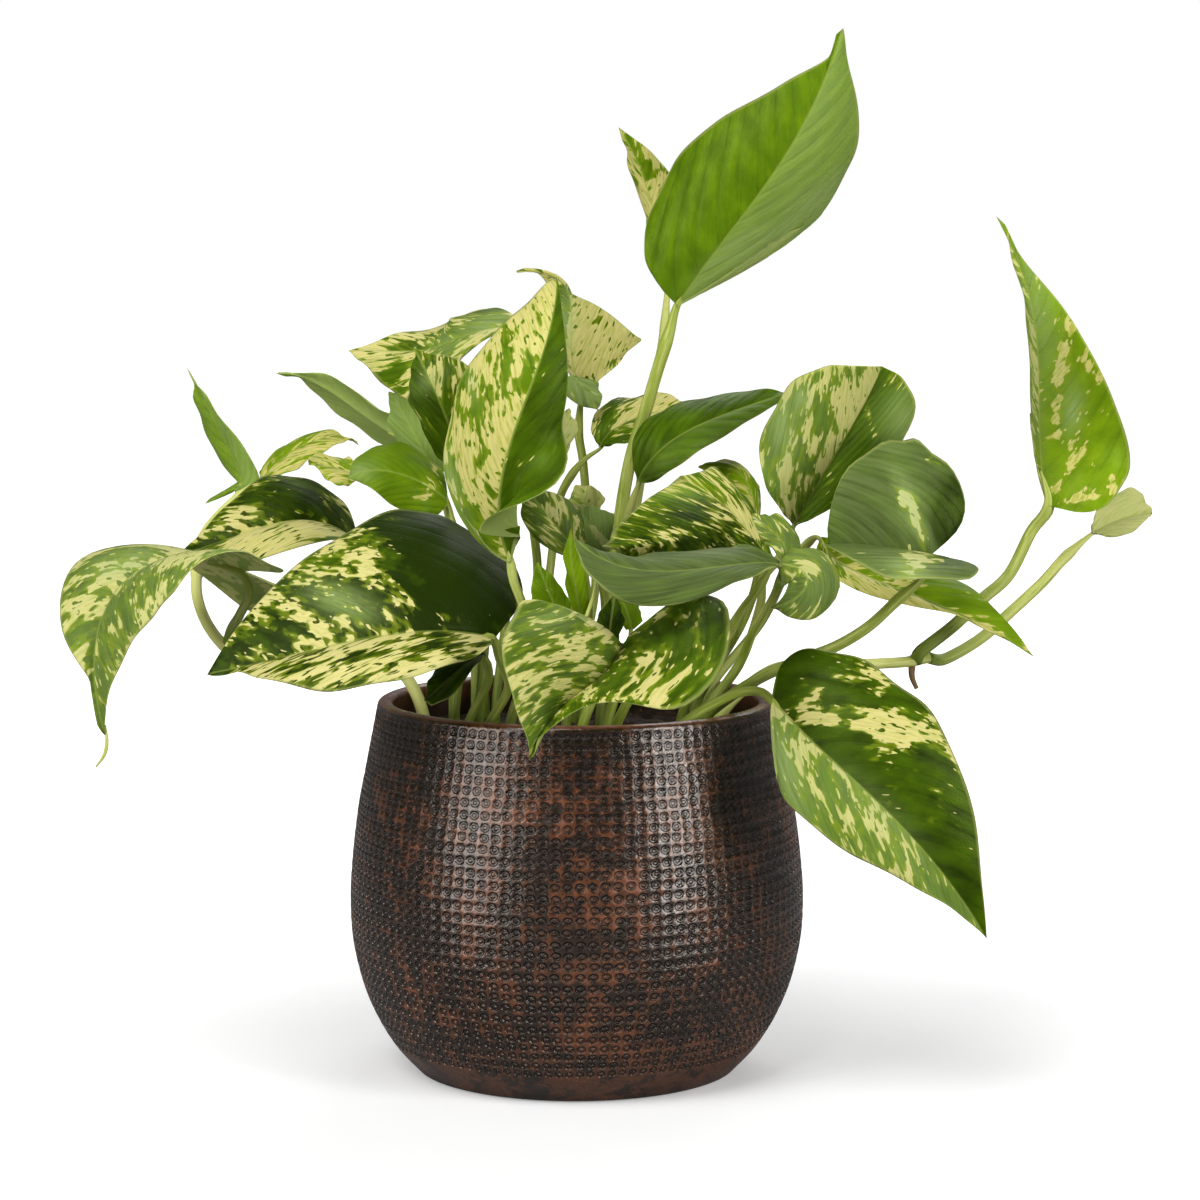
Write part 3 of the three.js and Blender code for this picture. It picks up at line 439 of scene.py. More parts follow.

# How each leaf is marked. cream, deep and grey are (left, right) shares of cream patches, dark green and
# grey cast; their marks are soft ovals on top, as paint says. quilt and wave are the heights of the tissue
# between the veins and of the wavy margin. plain marks the plain green leaves and is not used, stalk is how
# pale the stalk is, and flap holds what is different on the flaps.
# The grey cast is partly the leaf's own grey-green and partly painted sheen, a painted highlight.
LOOKS = {
    "leaf_tall": dict(
        # The lighter, greyer right half and the grey marks are painted sheen, a silvery painted highlight.
        plain=True, cream=(-0.4, -0.4), deep=(0.45, 0.25), grey=(0, 0.5), quilt=0.5,
        grey_marks=((78, 158, 34, 6, 38, 0.45), (50, 141, 16, 4, 42, 0.3)),
    ),
    "leaf_narrow": dict(
        cream=(0.66, 0.6), deep=(0.4, 0.4), stalk=0.8,
        cream_marks=((23, 150, 8, 2.5, 100, -0.3), (15, 185, 8, 2.5, 110, -0.25)),
    ),
    "leaf_fan": dict(
        cream=(0.72, 0.74), deep=(0.6, 0.6),
        cream_marks=((-15, 118, 16, 2.5, 82, -0.6), (10, 98, 12, 3, 35, -0.15), (-26, 138, 9, 3, 10, -0.2)),
        grey_marks=((-15, 115, 14, 4, 82, 1),),
        flap=dict(cream=(0.2, 0.2), grey=(1, 1)),
    ),
    "leaf_upright": dict(
        cream=(0.67, -0.1), deep=(0.45, 0.7), stalk=0.55,
        cream_marks=(
            (-58, 42, 20, 5, 112, -0.35), (-52, 77, 14, 3, 98, -0.45), (-40, 98, 12, 3.2, 82, -0.45),
            (-46, 84, 5, 1.5, 95, -0.3), (-57, 90, 7, 3, 65, -0.3), (-46, 28, 9, 6, 100, -0.4),
            (-30, 92, 22, 2.5, 78, -0.2), (-24, 86, 30, 2, 84, 0.12),
        ),
        grey_marks=((-62, 52, 20, 3, 108, 0.8), (-53, 90, 8, 2, 100, 0.6)),
    ),
    "leaf_front_left": dict(
        cream=(0.57, 0.42), deep=(0.95, 0.95),
        cream_marks=(
            (-58, 14, 24, 22, -32, -1.2), (-80, 27, 14, 6, -30, -0.4), (-90, 9, 30, 3.2, -34, 0.3),
            (-108, 21, 12, 3, -14, 0.2), (-118, 0, 20, 3, -18, -0.3), (-100, 2, 14, 2.5, -24, -0.25),
            (-131, -4, 16, 2.6, -10, 0.2), (-140, -16, 16, 3, 8, -0.25), (-162, -30, 7, 6, 0, -0.6),
            (-150, -20, 10, 4, 20, -0.3), (-72, -33, 20, 2.5, 18, -0.4), (-134, 15, 7, 4, 30, -0.3),
        ),
        # The grey mark about (-109, 0) is a painted highlight, a whitish sheen on the green.
        grey_marks=((-72, -33, 24, 3.5, 18, 0.7), (-109, 0, 16, 6, -20, 0.8)),
        deep_marks=((-80, 12, 22, 4, -38, -0.25), (-112, 18, 14, 6, 10, -0.3), (-58, 14, 24, 22, -32, 0.6)),
    ),
    "leaf_dome_left": dict(
        cream=(0.56, 0.2), deep=(0.75, 0.9),
        cream_marks=(
            (-150, 33, 14, 9, -15, 0.4), (-112, 42, 14, 4, -55, 0.2), (-125, 32, 14, 3, -10, 0.2),
            (-164, 21, 9, 2.5, 20, -0.35), (-126, 46, 10, 5, 0, -0.2), (-136, 36, 6, 2.5, -30, -0.3),
            (-150, 17, 24, 4, 12, 0.12),
        ),
    ),
    "leaf_far_left": dict(
        cream=(0.36, 0.42), deep=(0.7, 0.7), grey=(0.35, 0.3),
        # The cream, grey and deep marks about (-147, 12) lighten the underside lobe, which lies in shade:
        # painted light.
        cream_marks=(
            (-170, 17, 14, 5, 0, 0.3), (-206, 5, 14, 5, 50, 0.2), (-190, -10, 18, 3, 62, 0.25),
            (-207, -24, 16, 5, 80, -0.2), (-204, -52, 12, 5, 90, -0.2), (-146, 12, 10, 9, 0, 0.3),
        ),
        grey_marks=((-198, 15, 14, 5, 20, 0.7), (-148, 12, 14, 10, 0, 0.9)),
        deep_marks=((-148, 12, 16, 10, 0, -0.7),),
    ),
    "leaf_spear": dict(plain=True, cream=(-0.3, -0.3), deep=(0.25, 0.2), grey=(0.2, 0.6)),
    "leaf_arching": dict(
        cream=(0.62, 0.6), deep=(0.2, 0.2), stalk=0.7,
        cream_marks=((-141, 55, 14, 4, 40, -0.3), (-128, 65, 10, 2.5, 15, -0.3)),
    ),
    "leaf_grey_left": dict(plain=True, cream=(-0.3, -0.3), deep=(0.2, 0.2), grey=(0.7, 0.7)),
    "leaf_folded": dict(
        cream=(0.6, 0.48), deep=(0.6, 0.65),
        cream_marks=(
            (-84, 95, 6, 2.6, 78, -0.5), (-66, 104, 7, 3.5, 20, -0.4), (-94, 104, 10, 4, 5, 0.15),
            (-46, 115, 12, 4, 15, -0.2), (-90, 90, 12, 2, -42, -0.25), (-74, 110, 10, 2.5, 15, 0.12),
        ),
        grey_marks=((-46, 115, 15, 5, 15, 0.8), (-64, 105, 8, 6, 0, 0.5)),
    ),
    "leaf_dark_left": dict(
        cream=(0.1, 0.42), deep=(0.75, 0.7),
        grey_marks=((-70, 92, 8, 4, 30, 0.5),),
    ),
    "leaf_grey_middle": dict(plain=True, cream=(-0.2, -0.2), deep=(0.2, 0.2), grey=(0.8, 0.8)),
    "leaf_green_dome": dict(
        plain=True, cream=(-0.3, -0.3), deep=(0.35, 0.35),
        cream_marks=((-72, 46, 12, 5, 75, 0.85), (-68, 56, 6, 4, -40, 0.4)),
        # The grey mark is a painted sheen on the left of the blade.
        grey_marks=((-101, 53, 7, 4, 20, 0.8),),
    ),
    "leaf_small_twisted": dict(cream=(0.5, 0.55), deep=(0.1, 0.2)),
    "leaf_front": dict(
        cream=(0.3, 0.48), deep=(0.75, 0.72),
        cream_marks=(
            (-27, -10, 12, 5, 20, -0.3), (-10, -22, 13, 6, -25, 0.06), (-35, -28, 9, 4, -60, 0.08),
            (18, -24, 8, 3, -20, 0.2), (22, -36, 13, 7, -28, 0.32), (0, -42, 18, 3, -8, 0.2),
            (45, -8, 16, 10, -60, -0.12), (8, -28, 5, 5, 0, -0.2), (-28, -58, 12, 5, 60, -0.12),
        ),
        grey=(0, 0.15), grey_marks=((-22, -8, 16, 5, 15, 0.4),),
    ),
    "leaf_long_grey": dict(
        plain=True, cream=(-0.3, -0.3), deep=(0.95, 0.95), grey=(0.32, 0.32),
        flap=dict(
            cream=(0.36, 0.34), deep=(0.8, 0.75), grey=(0.45, 0.35), quilt=0.05,
            cream_marks=((84, 1, 14, 4, 5, -0.35), (96, 8, 5, 9, -20, -0.3), (84, 13, 9, 4, 10, 0.2)),
        ),
    ),
    "leaf_dome_centre": dict(
        cream=(0.26, 0.4), deep=(0.9, 0.7),
        cream_marks=(
            (30, 48, 9, 4, 20, 0.2), (46, 33, 13, 3.5, 20, 0.22), (24, 25, 16, 2.5, 28, 0.25),
            (60, 32, 10, 3, -50, 0.3), (44, 22, 18, 3, 2, -0.15),
        ),
        deep_marks=((34, 46, 12, 5, 5, -0.6), (20, 38, 14, 4, 42, -0.2)),
    ),
    "leaf_back_yellow": dict(
        cream=(0.52, 0.52), deep=(0.1, 0.1),
        cream_marks=((60, 48, 7, 5, 40, -0.25), (50, 54, 6, 3, 0, -0.15)),
    ),
    "leaf_round_variegated": dict(
        cream=(0.52, 0.0), deep=(0.55, 0.75), grey=(0.25, 0.0), stalk=0.75,
        cream_marks=(
            (84, 82, 5, 3, 90, -0.6), (74, 70, 12, 5, 85, -0.45), (87, 57, 6, 2.5, 90, -0.5),
            (92, 78, 4, 3, 90, -0.5), (70, 44, 10, 5, -65, -0.3), (104, 88, 14, 5, 25, 0.12),
            (122, 92, 7, 4, -20, 0.5), (113, 74, 14, 1.8, -75, 0.6),
        ),
        grey_marks=((76, 70, 14, 6, 85, 0.8), (84, 84, 6, 4, 90, 0.8), (127, 76, 9, 12, -20, 0.9)),
        deep_marks=((125, 78, 9, 14, -20, -0.3),),
    ),
    "leaf_blue_round": dict(
        cream=(-0.1, -0.3), deep=(0.88, 0.88), grey=(0.42, 0.37), wave=0.3,
        cream_marks=(
            (127, 42, 13, 6, -64, 0.7), (133, 29, 12, 5.5, -70, 0.68), (139, 57, 9, 5, -35, 0.66),
            (130, 15, 10, 7, -20, 0.66), (100, 12, 8, 5, 0, 0.5),
        ),
        grey_marks=((146, 36, 8, 16, -10, -0.7), (130, 38, 16, 3.5, -66, 0.7), (129, 11, 9, 6, -20, 0.6)),
        deep_marks=((112, 36, 16, 5, -35, 0.25),),
    ),
    "leaf_long_point": dict(
        cream=(0.44, 0.46), deep=(0.25, 0.3), stalk=0.6,
        cream_marks=(
            (114, 10, 17, 5, -15, 0.14), (150, 0, 18, 5, -30, -0.6), (135, -3.5, 34, 1.8, -18, 0.8),
            (172, -15, 12, 3, -50, -0.3),
        ),
    ),
    "leaf_long_green": dict(
        plain=True, cream=(-0.4, -0.4), deep=(0.7, 0.6), grey=(0, 0.1), quilt=0.4, stalk=0.7,
    ),
    "leaf_behind_tall": dict(
        cream=(0.68, 0.62), deep=(0.7, 0.6),
        cream_marks=((2, 71, 10, 3.5, 75, -0.7), (10, 66, 12, 3, 8, -0.6), (18, 74, 7, 2.5, 10, -0.3)),
    ),
    "leaf_pale_behind": dict(cream=(0.7, 0.7), deep=(0.2, 0.2), grey=(0.6, 0.6)),
    "leaf_small_pale": dict(cream=(0.75, 0.75), deep=(0.1, 0.1), grey=(0.5, 0.5)),
    "leaf_mottled": dict(
        cream=(0.36, 0.33), deep=(0.75, 0.8), grey=(0.25, 0.3),
        cream_marks=((-18, 36, 8, 4, 60, 0.18),),
    ),
    "leaf_grey_wedge": dict(
        plain=True, cream=(-0.4, -0.4), deep=(0.5, 0.5), grey=(0.8, 0.8),
        cream_marks=((0, 26, 9, 2.6, -52, 1.4),),
    ),
    "leaf_bright_strip": dict(plain=True, cream=(-0.2, -0.2), deep=(0.1, 0.1)),
    "leaf_olive": dict(plain=True, cream=(-0.1, -0.1), deep=(0.35, 0.4)),
    "leaf_dark_small": dict(plain=True, cream=(-0.2, -0.2), deep=(0.9, 0.9)),
    "leaf_bright_small": dict(plain=True, cream=(0.1, 0.1), deep=(0.3, 0.3)),
    "leaf_low_right": dict(
        cream=(0.0, 0.44), deep=(0.8, 0.55),
        cream_marks=(
            (126, -53, 22, 9, -4, 0.77), (94, -49, 20, 4, -6, 0.8), (148, -67, 9, 2.6, -58, 0.75),
            (103, -49, 8, 2.2, -4, -0.55), (131, -48, 2.5, 2.5, 0, -0.6), (110, -31, 10, 3, 0, 0.55),
            (92, -37, 11, 2, 38, 0.58), (118, -36, 6, 2.5, 40, 0.5), (76, -68, 22, 4, -72, -0.55),
            (84, -58, 9, 5, -60, 0.15), (103, -80, 14, 4, -60, 0.16), (146, -126, 16, 8, -45, -0.4),
            (94, -75, 10, 3.5, -75, -0.25), (116, -92, 9, 5, -60, 0.1), (90, -92, 14, 3, -35, -0.3),
        ),
        grey=(0, 0.35),
        grey_marks=((76, -68, 22, 6, -72, 0.6), (116, -86, 24, 6, -45, 0.3)),
    ),
    "leaf_right_upright": dict(
        cream=(0.42, 0.1), deep=(0.3, 0.15), stalk=0.5, quilt=0.25,
        cream_marks=(
            (191, 84, 17, 2.6, 84, 0.66), (194, 110, 15, 2.4, 78, 0.62), (201, 78, 11, 2, 74, 0.55),
            (197, 57, 13, 2.2, 55, 0.62), (215, 47, 6, 4, 60, 0.5), (200, 42, 13, 2, 15, 0.5),
            (205, 97, 8, 3, -45, 0.5), (183, 92, 14, 1.5, 100, 0.3),
        ),
        # The grey mark about (182, 122) is painted sheen, pale on the upper left of the blade.
        grey_marks=((197, 79, 9, 4, 82, 1), (182, 122, 34, 7, -76, 0.55), (181, 80, 30, 4, 92, 0.6)),
    ),
    "leaf_far_right": dict(cream=(1.3, 1.3), deep=(0.3, 0.3), grey=(0.6, 0.6), stalk=0.7),
    "leaf_under": dict(plain=True, cream=(-0.2, -0.2), deep=(0.9, 0.9)),
}


def unit(vectors):
    """Vectors divided by their lengths."""
    return vectors / np.maximum(np.linalg.norm(vectors, axis=-1, keepdims=True), 1e-12)


def spot(places):
    """Points in space: the sight line through (across, up) in the plane at AIM, followed to its depth."""
    places = np.asarray(places, float)
    ray = AIM + places[..., :1] * ACROSS + places[..., 1:2] * UP - EYE
    return EYE + ray * ((places[..., 2:] - EYE[1]) / ray[..., 1:2])


def seen(points):
    """(across, up) of points in space, the inverse of spot: the ray to a point scaled to the plane at AIM."""
    ray = points - EYE
    ray = ray * (EYE_DISTANCE / (ray @ AWAY))[..., None]
    return np.stack([ray @ ACROSS, ray @ UP], axis=-1)


def smooth(rows, at):
    """The Catmull-Rom line through rows of numbers, read at row numbers that may lie between two rows."""
    rows = np.asarray(rows, float)
    ends = np.concatenate([[2 * rows[0] - rows[1]], rows, [2 * rows[-1] - rows[-2]]])
    first = np.clip(at.astype(int), 0, len(rows) - 2)
    share = (at - first)[..., None]
    before, start, end, after = (ends[first + step] for step in range(4))
    rising = 2 * before - 5 * start + 4 * end - after
    bending = 3 * (start - end) + after - before
    return start + share / 2 * (end - before + share * (rising + share * bending))


def steps(points):
    """The length of each step along a line of points."""
    return np.linalg.norm(np.diff(points, axis=0), axis=1)


def travelled(points):
    """The distance along a line of points from its first point to each of them."""
    return np.concatenate([[0], np.cumsum(steps(points))])


def read_along(points, at):
    """Points of a line of points at distances along it."""
    distance = travelled(points)
    return np.stack([np.interp(at, distance, column) for column in points.T], axis=-1)


def soft_step(value, low, high):
    """0 below low, 1 above high and 3x^2 - 2x^3 between them."""
    share = np.clip((value - low) / (high - low), 0, 1)
    return share * share * (3 - 2 * share)


def turned(vectors, axis, angle):
    """Rodrigues' turn of vectors about unit axes by an angle in radians."""
    cosine, sine = np.cos(angle)[..., None], np.sin(angle)[..., None]
    along = axis * (axis * vectors).sum(-1, keepdims=True)
    return vectors * cosine + np.cross(axis, vectors) * sine + along * (1 - cosine)


def grid_triangles(rows, columns, closed=False):
    """The two triangles in each cell of a grid. closed joins its last column to its first."""
    number = np.arange(rows * columns).reshape(rows, columns)
    if closed:
        number = np.concatenate([number, number[:, :1]], axis=1)
    a, b, c, d = number[:-1, :-1], number[:-1, 1:], number[1:, 1:], number[1:, :-1]
    return np.stack([a, b, c, a, c, d], axis=-1).reshape(-1, 3)


def welded(points, triangles, *values):
    """Points that lie together become one, with the values of one, and triangles with a lost corner go."""
    _, first, number = np.unique(np.round(points, 4), axis=0, return_index=True, return_inverse=True)
    triangles = number.reshape(-1)[triangles]
    kept = (triangles != np.roll(triangles, 1, axis=1)).all(axis=1)
    return (points[first], triangles[kept], *(value[first] for value in values))


def surface(points, *values, closed=False):
    """A grid of points and its grids of values as lists, with the triangles between them, welded."""
    lists = [grid.reshape(-1, *grid.shape[2:]) for grid in (points, *values)]
    return welded(lists[0], grid_triangles(*points.shape[:2], closed), *lists[1:])


def vertex_normals(points, triangles):
    """Unit normals: the sum of those of the triangles round each point, larger triangles counting more."""
    a, b, c = (points[triangles[:, k]] for k in range(3))
    face = np.cross(b - a, c - a)
    total = np.zeros_like(points)
    for corner in range(3):
        np.add.at(total, triangles[:, corner], face)
    return unit(total)


class Shape:
    """Triangles of several surfaces, with named values at each point and a material slot for each."""

    def __init__(self):
        self.points, self.triangles, self.slots, self.values = [], [], [], {}
        self.count = 0

    def add(self, points, triangles, slot=0, **values):
        """Adds one closed surface; each value is an array with one number or one vector a point."""
        self.points.append(points)
        self.triangles.append(triangles + self.count)
        self.slots.append(np.full(len(triangles), slot))
        self.count += len(points)
        for name, value in values.items():
            self.values.setdefault(name, []).append(value)

    def piece(self, name, materials):
        """A smooth mesh object in metres, with its place in its mesh."""
        mesh = bpy.data.meshes.new(name)
        points = np.concatenate(self.points) * MM
        mesh.from_pydata(points.tolist(), [], np.concatenate(self.triangles).tolist())
        for material in materials:
            mesh.materials.append(material)
        mesh.polygons.foreach_set("material_index", np.concatenate(self.slots).astype(np.int32))
        mesh.polygons.foreach_set("use_smooth", np.ones(len(mesh.polygons), bool))
        for key, parts in self.values.items():
            value = np.concatenate(parts).astype(np.float32)
            kind = "FLOAT" if value.ndim == 1 else "FLOAT_VECTOR"
            layer = mesh.attributes.new(key, kind, "POINT")
            layer.data.foreach_set("value" if value.ndim == 1 else "vector", value.ravel())
        mesh.update()
        made = bpy.data.objects.new(name, mesh)
        bpy.context.scene.collection.objects.link(made)
        return made


def rib_curve(leaf):
    """The cubic through base, rib and tip at 0, 1/3, 2/3 and 1, as what multiplies 1, u, u^2 and u^3."""
    through = spot([leaf["base"], *leaf["rib"], leaf["tip"]])
    return np.linalg.solve(np.vander([0, 1 / 3, 2 / 3, 1], increasing=True), through)


def on_rib(curve, share):
    """Points of the midrib and its unit directions at shares of it."""
    powers = share[..., None] ** np.arange(4)
    slopes = np.arange(1, 4) * share[..., None] ** np.arange(3)
    return powers @ curve, unit(slopes @ curve[1:])


def rib_length(curve):
    """The length of the midrib, from fifty short steps."""
    points, _ = on_rib(curve, np.linspace(0, 1, 50))
    return steps(points).sum()


def folded(out, start, bend, angle):
    """Distance out and height of a half blade that turns up through an angle between start and start + bend.

    The turn is an arc of radius bend / angle, and the blade beyond it is straight.
    """
    angle = np.maximum(angle, 1e-3)
    arc = np.clip(out - start, 0, bend)
    beyond = np.clip(out - start - bend, 0, None)
    turn, radius = angle * arc / bend, bend / angle
    across = np.minimum(out, start) + radius * np.sin(turn) + beyond * np.cos(angle)
    return across, radius * (1 - np.cos(turn)) + beyond * np.sin(angle)


def sheet(leaf, curve, along, away, side):
    """Points of a blade's middle sheet.

    A point is on the midrib, plus a side vector times away, plus a lift square to both. The side vector runs
    from the widest place of the midrib to the margin spot and turns with the midrib; twist turns it further.
    The lift is an arch, 4 w (1 - w) of away w, plus the rise of a folded margin. Behind the base, the sheet
    goes straight on.
    """
    share = np.clip(along, 0, 1)
    point, direction = on_rib(curve, share)
    middle, widest = on_rib(curve, np.array(WIDEST))
    left, right = spot(leaf["left"]) - middle, spot(leaf["right"]) - middle
    reach = np.where(side[..., None] > 0, left, right)
    cross = np.cross(widest, direction)
    cosine = (direction @ widest)[..., None]
    tilted = cross * (cross * reach).sum(-1, keepdims=True) / (1 + cosine)
    reach = reach * cosine + np.cross(cross, reach) + tilted
    reach = turned(reach, direction, np.radians(leaf.get("twist", 0)) * (share - WIDEST))
    half_width = np.linalg.norm(reach, axis=-1, keepdims=True)
    lift = unit(np.cross(direction, reach)) * half_width * side[..., None]
    out, rise = away, np.zeros_like(away)
    for half, centre, width, start, bend, angle in leaf.get("folds", ()):
        here = np.radians(angle) * np.exp(-(((along - centre) / width) ** 4)) * (side == half)
        out, rise = folded(out, start, bend, here)
    behind = np.minimum(along, 0)[..., None] * rib_length(curve) * on_rib(curve, np.array(0.0))[1]
    height = ARCH * 4 * out * (1 - out) + rise
    return point + behind + reach * out[..., None] + lift * height[..., None]


# Places of the columns of a half blade, as shares of the way out: closest at the midrib and at the margin.
HALF = np.concatenate([[0, 0.02, 0.045], np.linspace(0.09, 0.91, 17), [0.945, 0.975, 1]])


def margin(leaf, row, side, random, seed):
    """Where each row's vein starts and ends, as shares of length, and its reach, as a share of half width.

    MARGIN gives all three. A lobe draws the end back, skew moves it by 4 skew a (1 - a) of its place a, a
    full tip widens the reach, and a sine along the rows makes it uneven.
    """
    lobe, full, skew = (np.where(side > 0, *leaf.get(key, (0, 0))) for key in ("lobes", "full", "skew"))
    along, away, vein, pull, swell = np.moveaxis(smooth(MARGIN, row), -1, 0)
    end = along - pull * lobe + 4 * skew * along * (1 - along)
    reach = np.maximum(away + swell * full, np.minimum(away, NARROWEST))
    turns = random.uniform(*UNEVEN_TURNS, 2)[(side > 0).astype(int)]
    return vein, end, reach * (1 + UNEVEN * np.sin(row * turns + seed))


def vein_starts(leaf, length, ahead, off, width, side):
    """Where the vein through a point leaves the midrib, for points ahead along the midrib and off to a side.

    It is ahead - off (spread + fan ahead / length + curve off / width), and a lobe spreads its veins less.
    """
    lobe = np.where(side > 0, *leaf.get("lobes", (0, 0)))
    spread = VEIN_SPREAD * (1 - 2 * np.clip(lobe, 0, LOBE_LIMIT))
    return ahead - off * (spread + VEIN_FAN * ahead / length + VEIN_CURVE * off / width)


def relief(look, row, across, side, vein, random):
    """How far the sheet is raised: quilted between its veins, wavy towards its margin and swaying as a whole.

    The quilting is (level - v^3) sin(pi w), for v 1 on a vein and 0 between two, and the share w of the way
    out. The margin's waves are two sines of the row, times w^3. The sway is a sine of the row, times one
    across the blade, times w.
    """
    out = np.abs(across)
    near = 1 - np.abs(np.sin(math.pi * vein))
    quilt = (QUILT_LEVEL - near**3) * np.sin(math.pi * out) * look.get("quilt", QUILT)
    phase = random.uniform(0, 6.3, 4)
    long, short = (row * turns for turns in WAVE_TURNS)
    wave = np.sin(long + phase[0] + 1.5 * side) + SHORT_WAVE * np.sin(short + phase[1] - side)
    sway = np.sin(row * SWAY_TURNS[0] + phase[2]) * np.sin(across * SWAY_TURNS[1] + phase[3])
    return quilt + look.get("wave", WAVE) * wave * out**3 + SWAY * sway * out


def pattern_place(ahead, off, start, number, side, seed):
    """Where a point lies in the patterns: across the veins and along them, and the number of its vein."""
    sine, cosine = math.sin(VEIN_SLANT), math.cos(VEIN_SLANT)
    along_vein = ahead * cosine + off * sine + HALF_SHIFT * (side < 0) + LEAF_SHIFT[1] * seed
    return np.stack([start * sine + LEAF_SHIFT[0] * seed, along_vein, number], axis=-1)


def shell(points, triangles, height, half, rib):
    """A blade's two faces, half a thickness off the raised sheet, with a dip over the midrib and a keel."""
    normals = -vertex_normals(points, triangles)
    body = points + normals * height[:, None]
    rib = rib * (half > 0)
    upper = body + normals * (half - RIB_DIP * rib)[:, None]
    under = body - normals * (half + RIB_KEEL * rib)[:, None]
    faces = np.concatenate([triangles[:, ::-1], triangles + len(points)])
    return np.concatenate([upper, under]), faces


def blade(shape, leaf, look, seed):
    """Adds a blade: a closed shell round its sheet, with its relief, its paint and its place in the patterns.

    Rows are veins from the midrib to the margin, and columns are shares of the way out along them.
    """
    random = np.random.default_rng(seed)
    curve = rib_curve(leaf)
    length = rib_length(curve)
    count = int(np.clip(length / ROW_GAP, *ROW_COUNTS))
    row = np.linspace(0, len(MARGIN) - 1, count)[:, None]
    across = np.concatenate([-HALF[:0:-1], HALF]) + 0 * row
    out, side = np.abs(across), np.where(across > 0, 1, -1)
    vein, end, reach = margin(leaf, row, side, random, seed)
    place = vein + (end - vein) * out**VEIN_BEND
    points = sheet(leaf, curve, place, reach * out, side)

    middle, _ = on_rib(curve, np.array(WIDEST))
    width = np.where(side > 0, *np.linalg.norm(spot([leaf["left"], leaf["right"]]) - middle, axis=1))
    ahead, off = place * length, out * reach * width
    start = vein_starts(leaf, length, ahead, off, width, side)
    number = start / (VEIN_GAP * length)
    height = relief(look, row, across, side, number, random)
    share = row / (len(MARGIN) - 1)
    ends = np.sqrt(np.clip(END_STEEPNESS * share * (1 - share), 0, 1))
    half = THICKNESS / 2 * np.sqrt(1 - out**EDGE_POWER) * ends
    rib = np.exp(-((off / RIB_WIDTH) ** 2)) * (1 - np.clip(place, 0, 1)) ** RIB_FADE * ends
    painted = paint(look, points, across)
    where = pattern_place(ahead, off, start, number, side, seed)
    edges = np.stack([off, out, 0 * out], axis=-1)
    points, triangles, height, half, rib, painted, where, edges = surface(
        points, height, half, rib, painted, where, edges)

    points, triangles = shell(points, triangles, height, half, rib)
    painted, where = np.tile(painted, (2, 1)), np.tile(where, (2, 1))
    edges = np.concatenate([edges, edges + (0, 0, 1)])
    points, triangles, painted, where, edges = welded(points, triangles, painted, where, edges)
    shape.add(points, triangles, paint=painted, place=where, side=edges)


def paint(look, points, across):
    """Shares of cream, dark green and grey at each point: one number for each half, plus soft oval marks.

    A mark is (across, up, long, wide, tilt, change) in the plane of the photograph, in millimetres and
    degrees, and fades as exp(-(x/long)^2 - (y/wide)^2).
    """
    there = seen(points)
    left = soft_step(across, -0.01, 0.01)
    result = []
    for key, plain in (("cream", (0.4, 0.4)), ("deep", (0.5, 0.5)), ("grey", (0, 0))):
        first, second = look.get(key, plain)
        share = second + (first - second) * left
        for x, y, long, wide, tilt, change in look.get(key + "_marks", ()):
            offset = there - (x, y)
            turn = math.radians(tilt)
            u = (offset @ (math.cos(turn), math.sin(turn))) / long
            v = (offset @ (-math.sin(turn), math.cos(turn))) / wide
            share = share + change * np.exp(-(u**2) - v**2)
        result.append(share)
    return np.stack(result, axis=-1)


def smooth_path(points, count):
    """Points at even steps along a smooth curve through points, and its length.

    The curve is a cubic from each point to the next. Its slopes come from the points on both sides, and its
    knots are as far apart as the root of the distance.
    """
    points = np.asarray(points, float)
    gaps = np.sqrt(steps(points))
    knots = np.concatenate([[0], np.cumsum(gaps)])
    slopes = np.gradient(points, knots, axis=0)
    fine = np.linspace(0, knots[-1], 12 * len(points))
    part = np.clip(np.searchsorted(knots, fine, side="right") - 1, 0, len(gaps) - 1)
    step = gaps[part][:, None]
    t = (fine - knots[part])[:, None] / step
    line = (
        (1 + 2 * t) * (1 - t) ** 2 * points[part] + t * (1 - t) ** 2 * step * slopes[part]
        + t**2 * (3 - 2 * t) * points[part + 1] + t**2 * (t - 1) * step * slopes[part + 1]
    )
    length = travelled(line)[-1]
    return read_along(line, np.linspace(0, length, count)), length


def carried(first, tangents):
    """A direction square to each tangent of a line: the first, carried along it without twisting."""
    normal = np.asarray(first, float)
    normals = []
    for tangent in tangents:
        normal = unit(normal - tangent * (normal @ tangent))
        normals.append(normal)
    return np.array(normals)


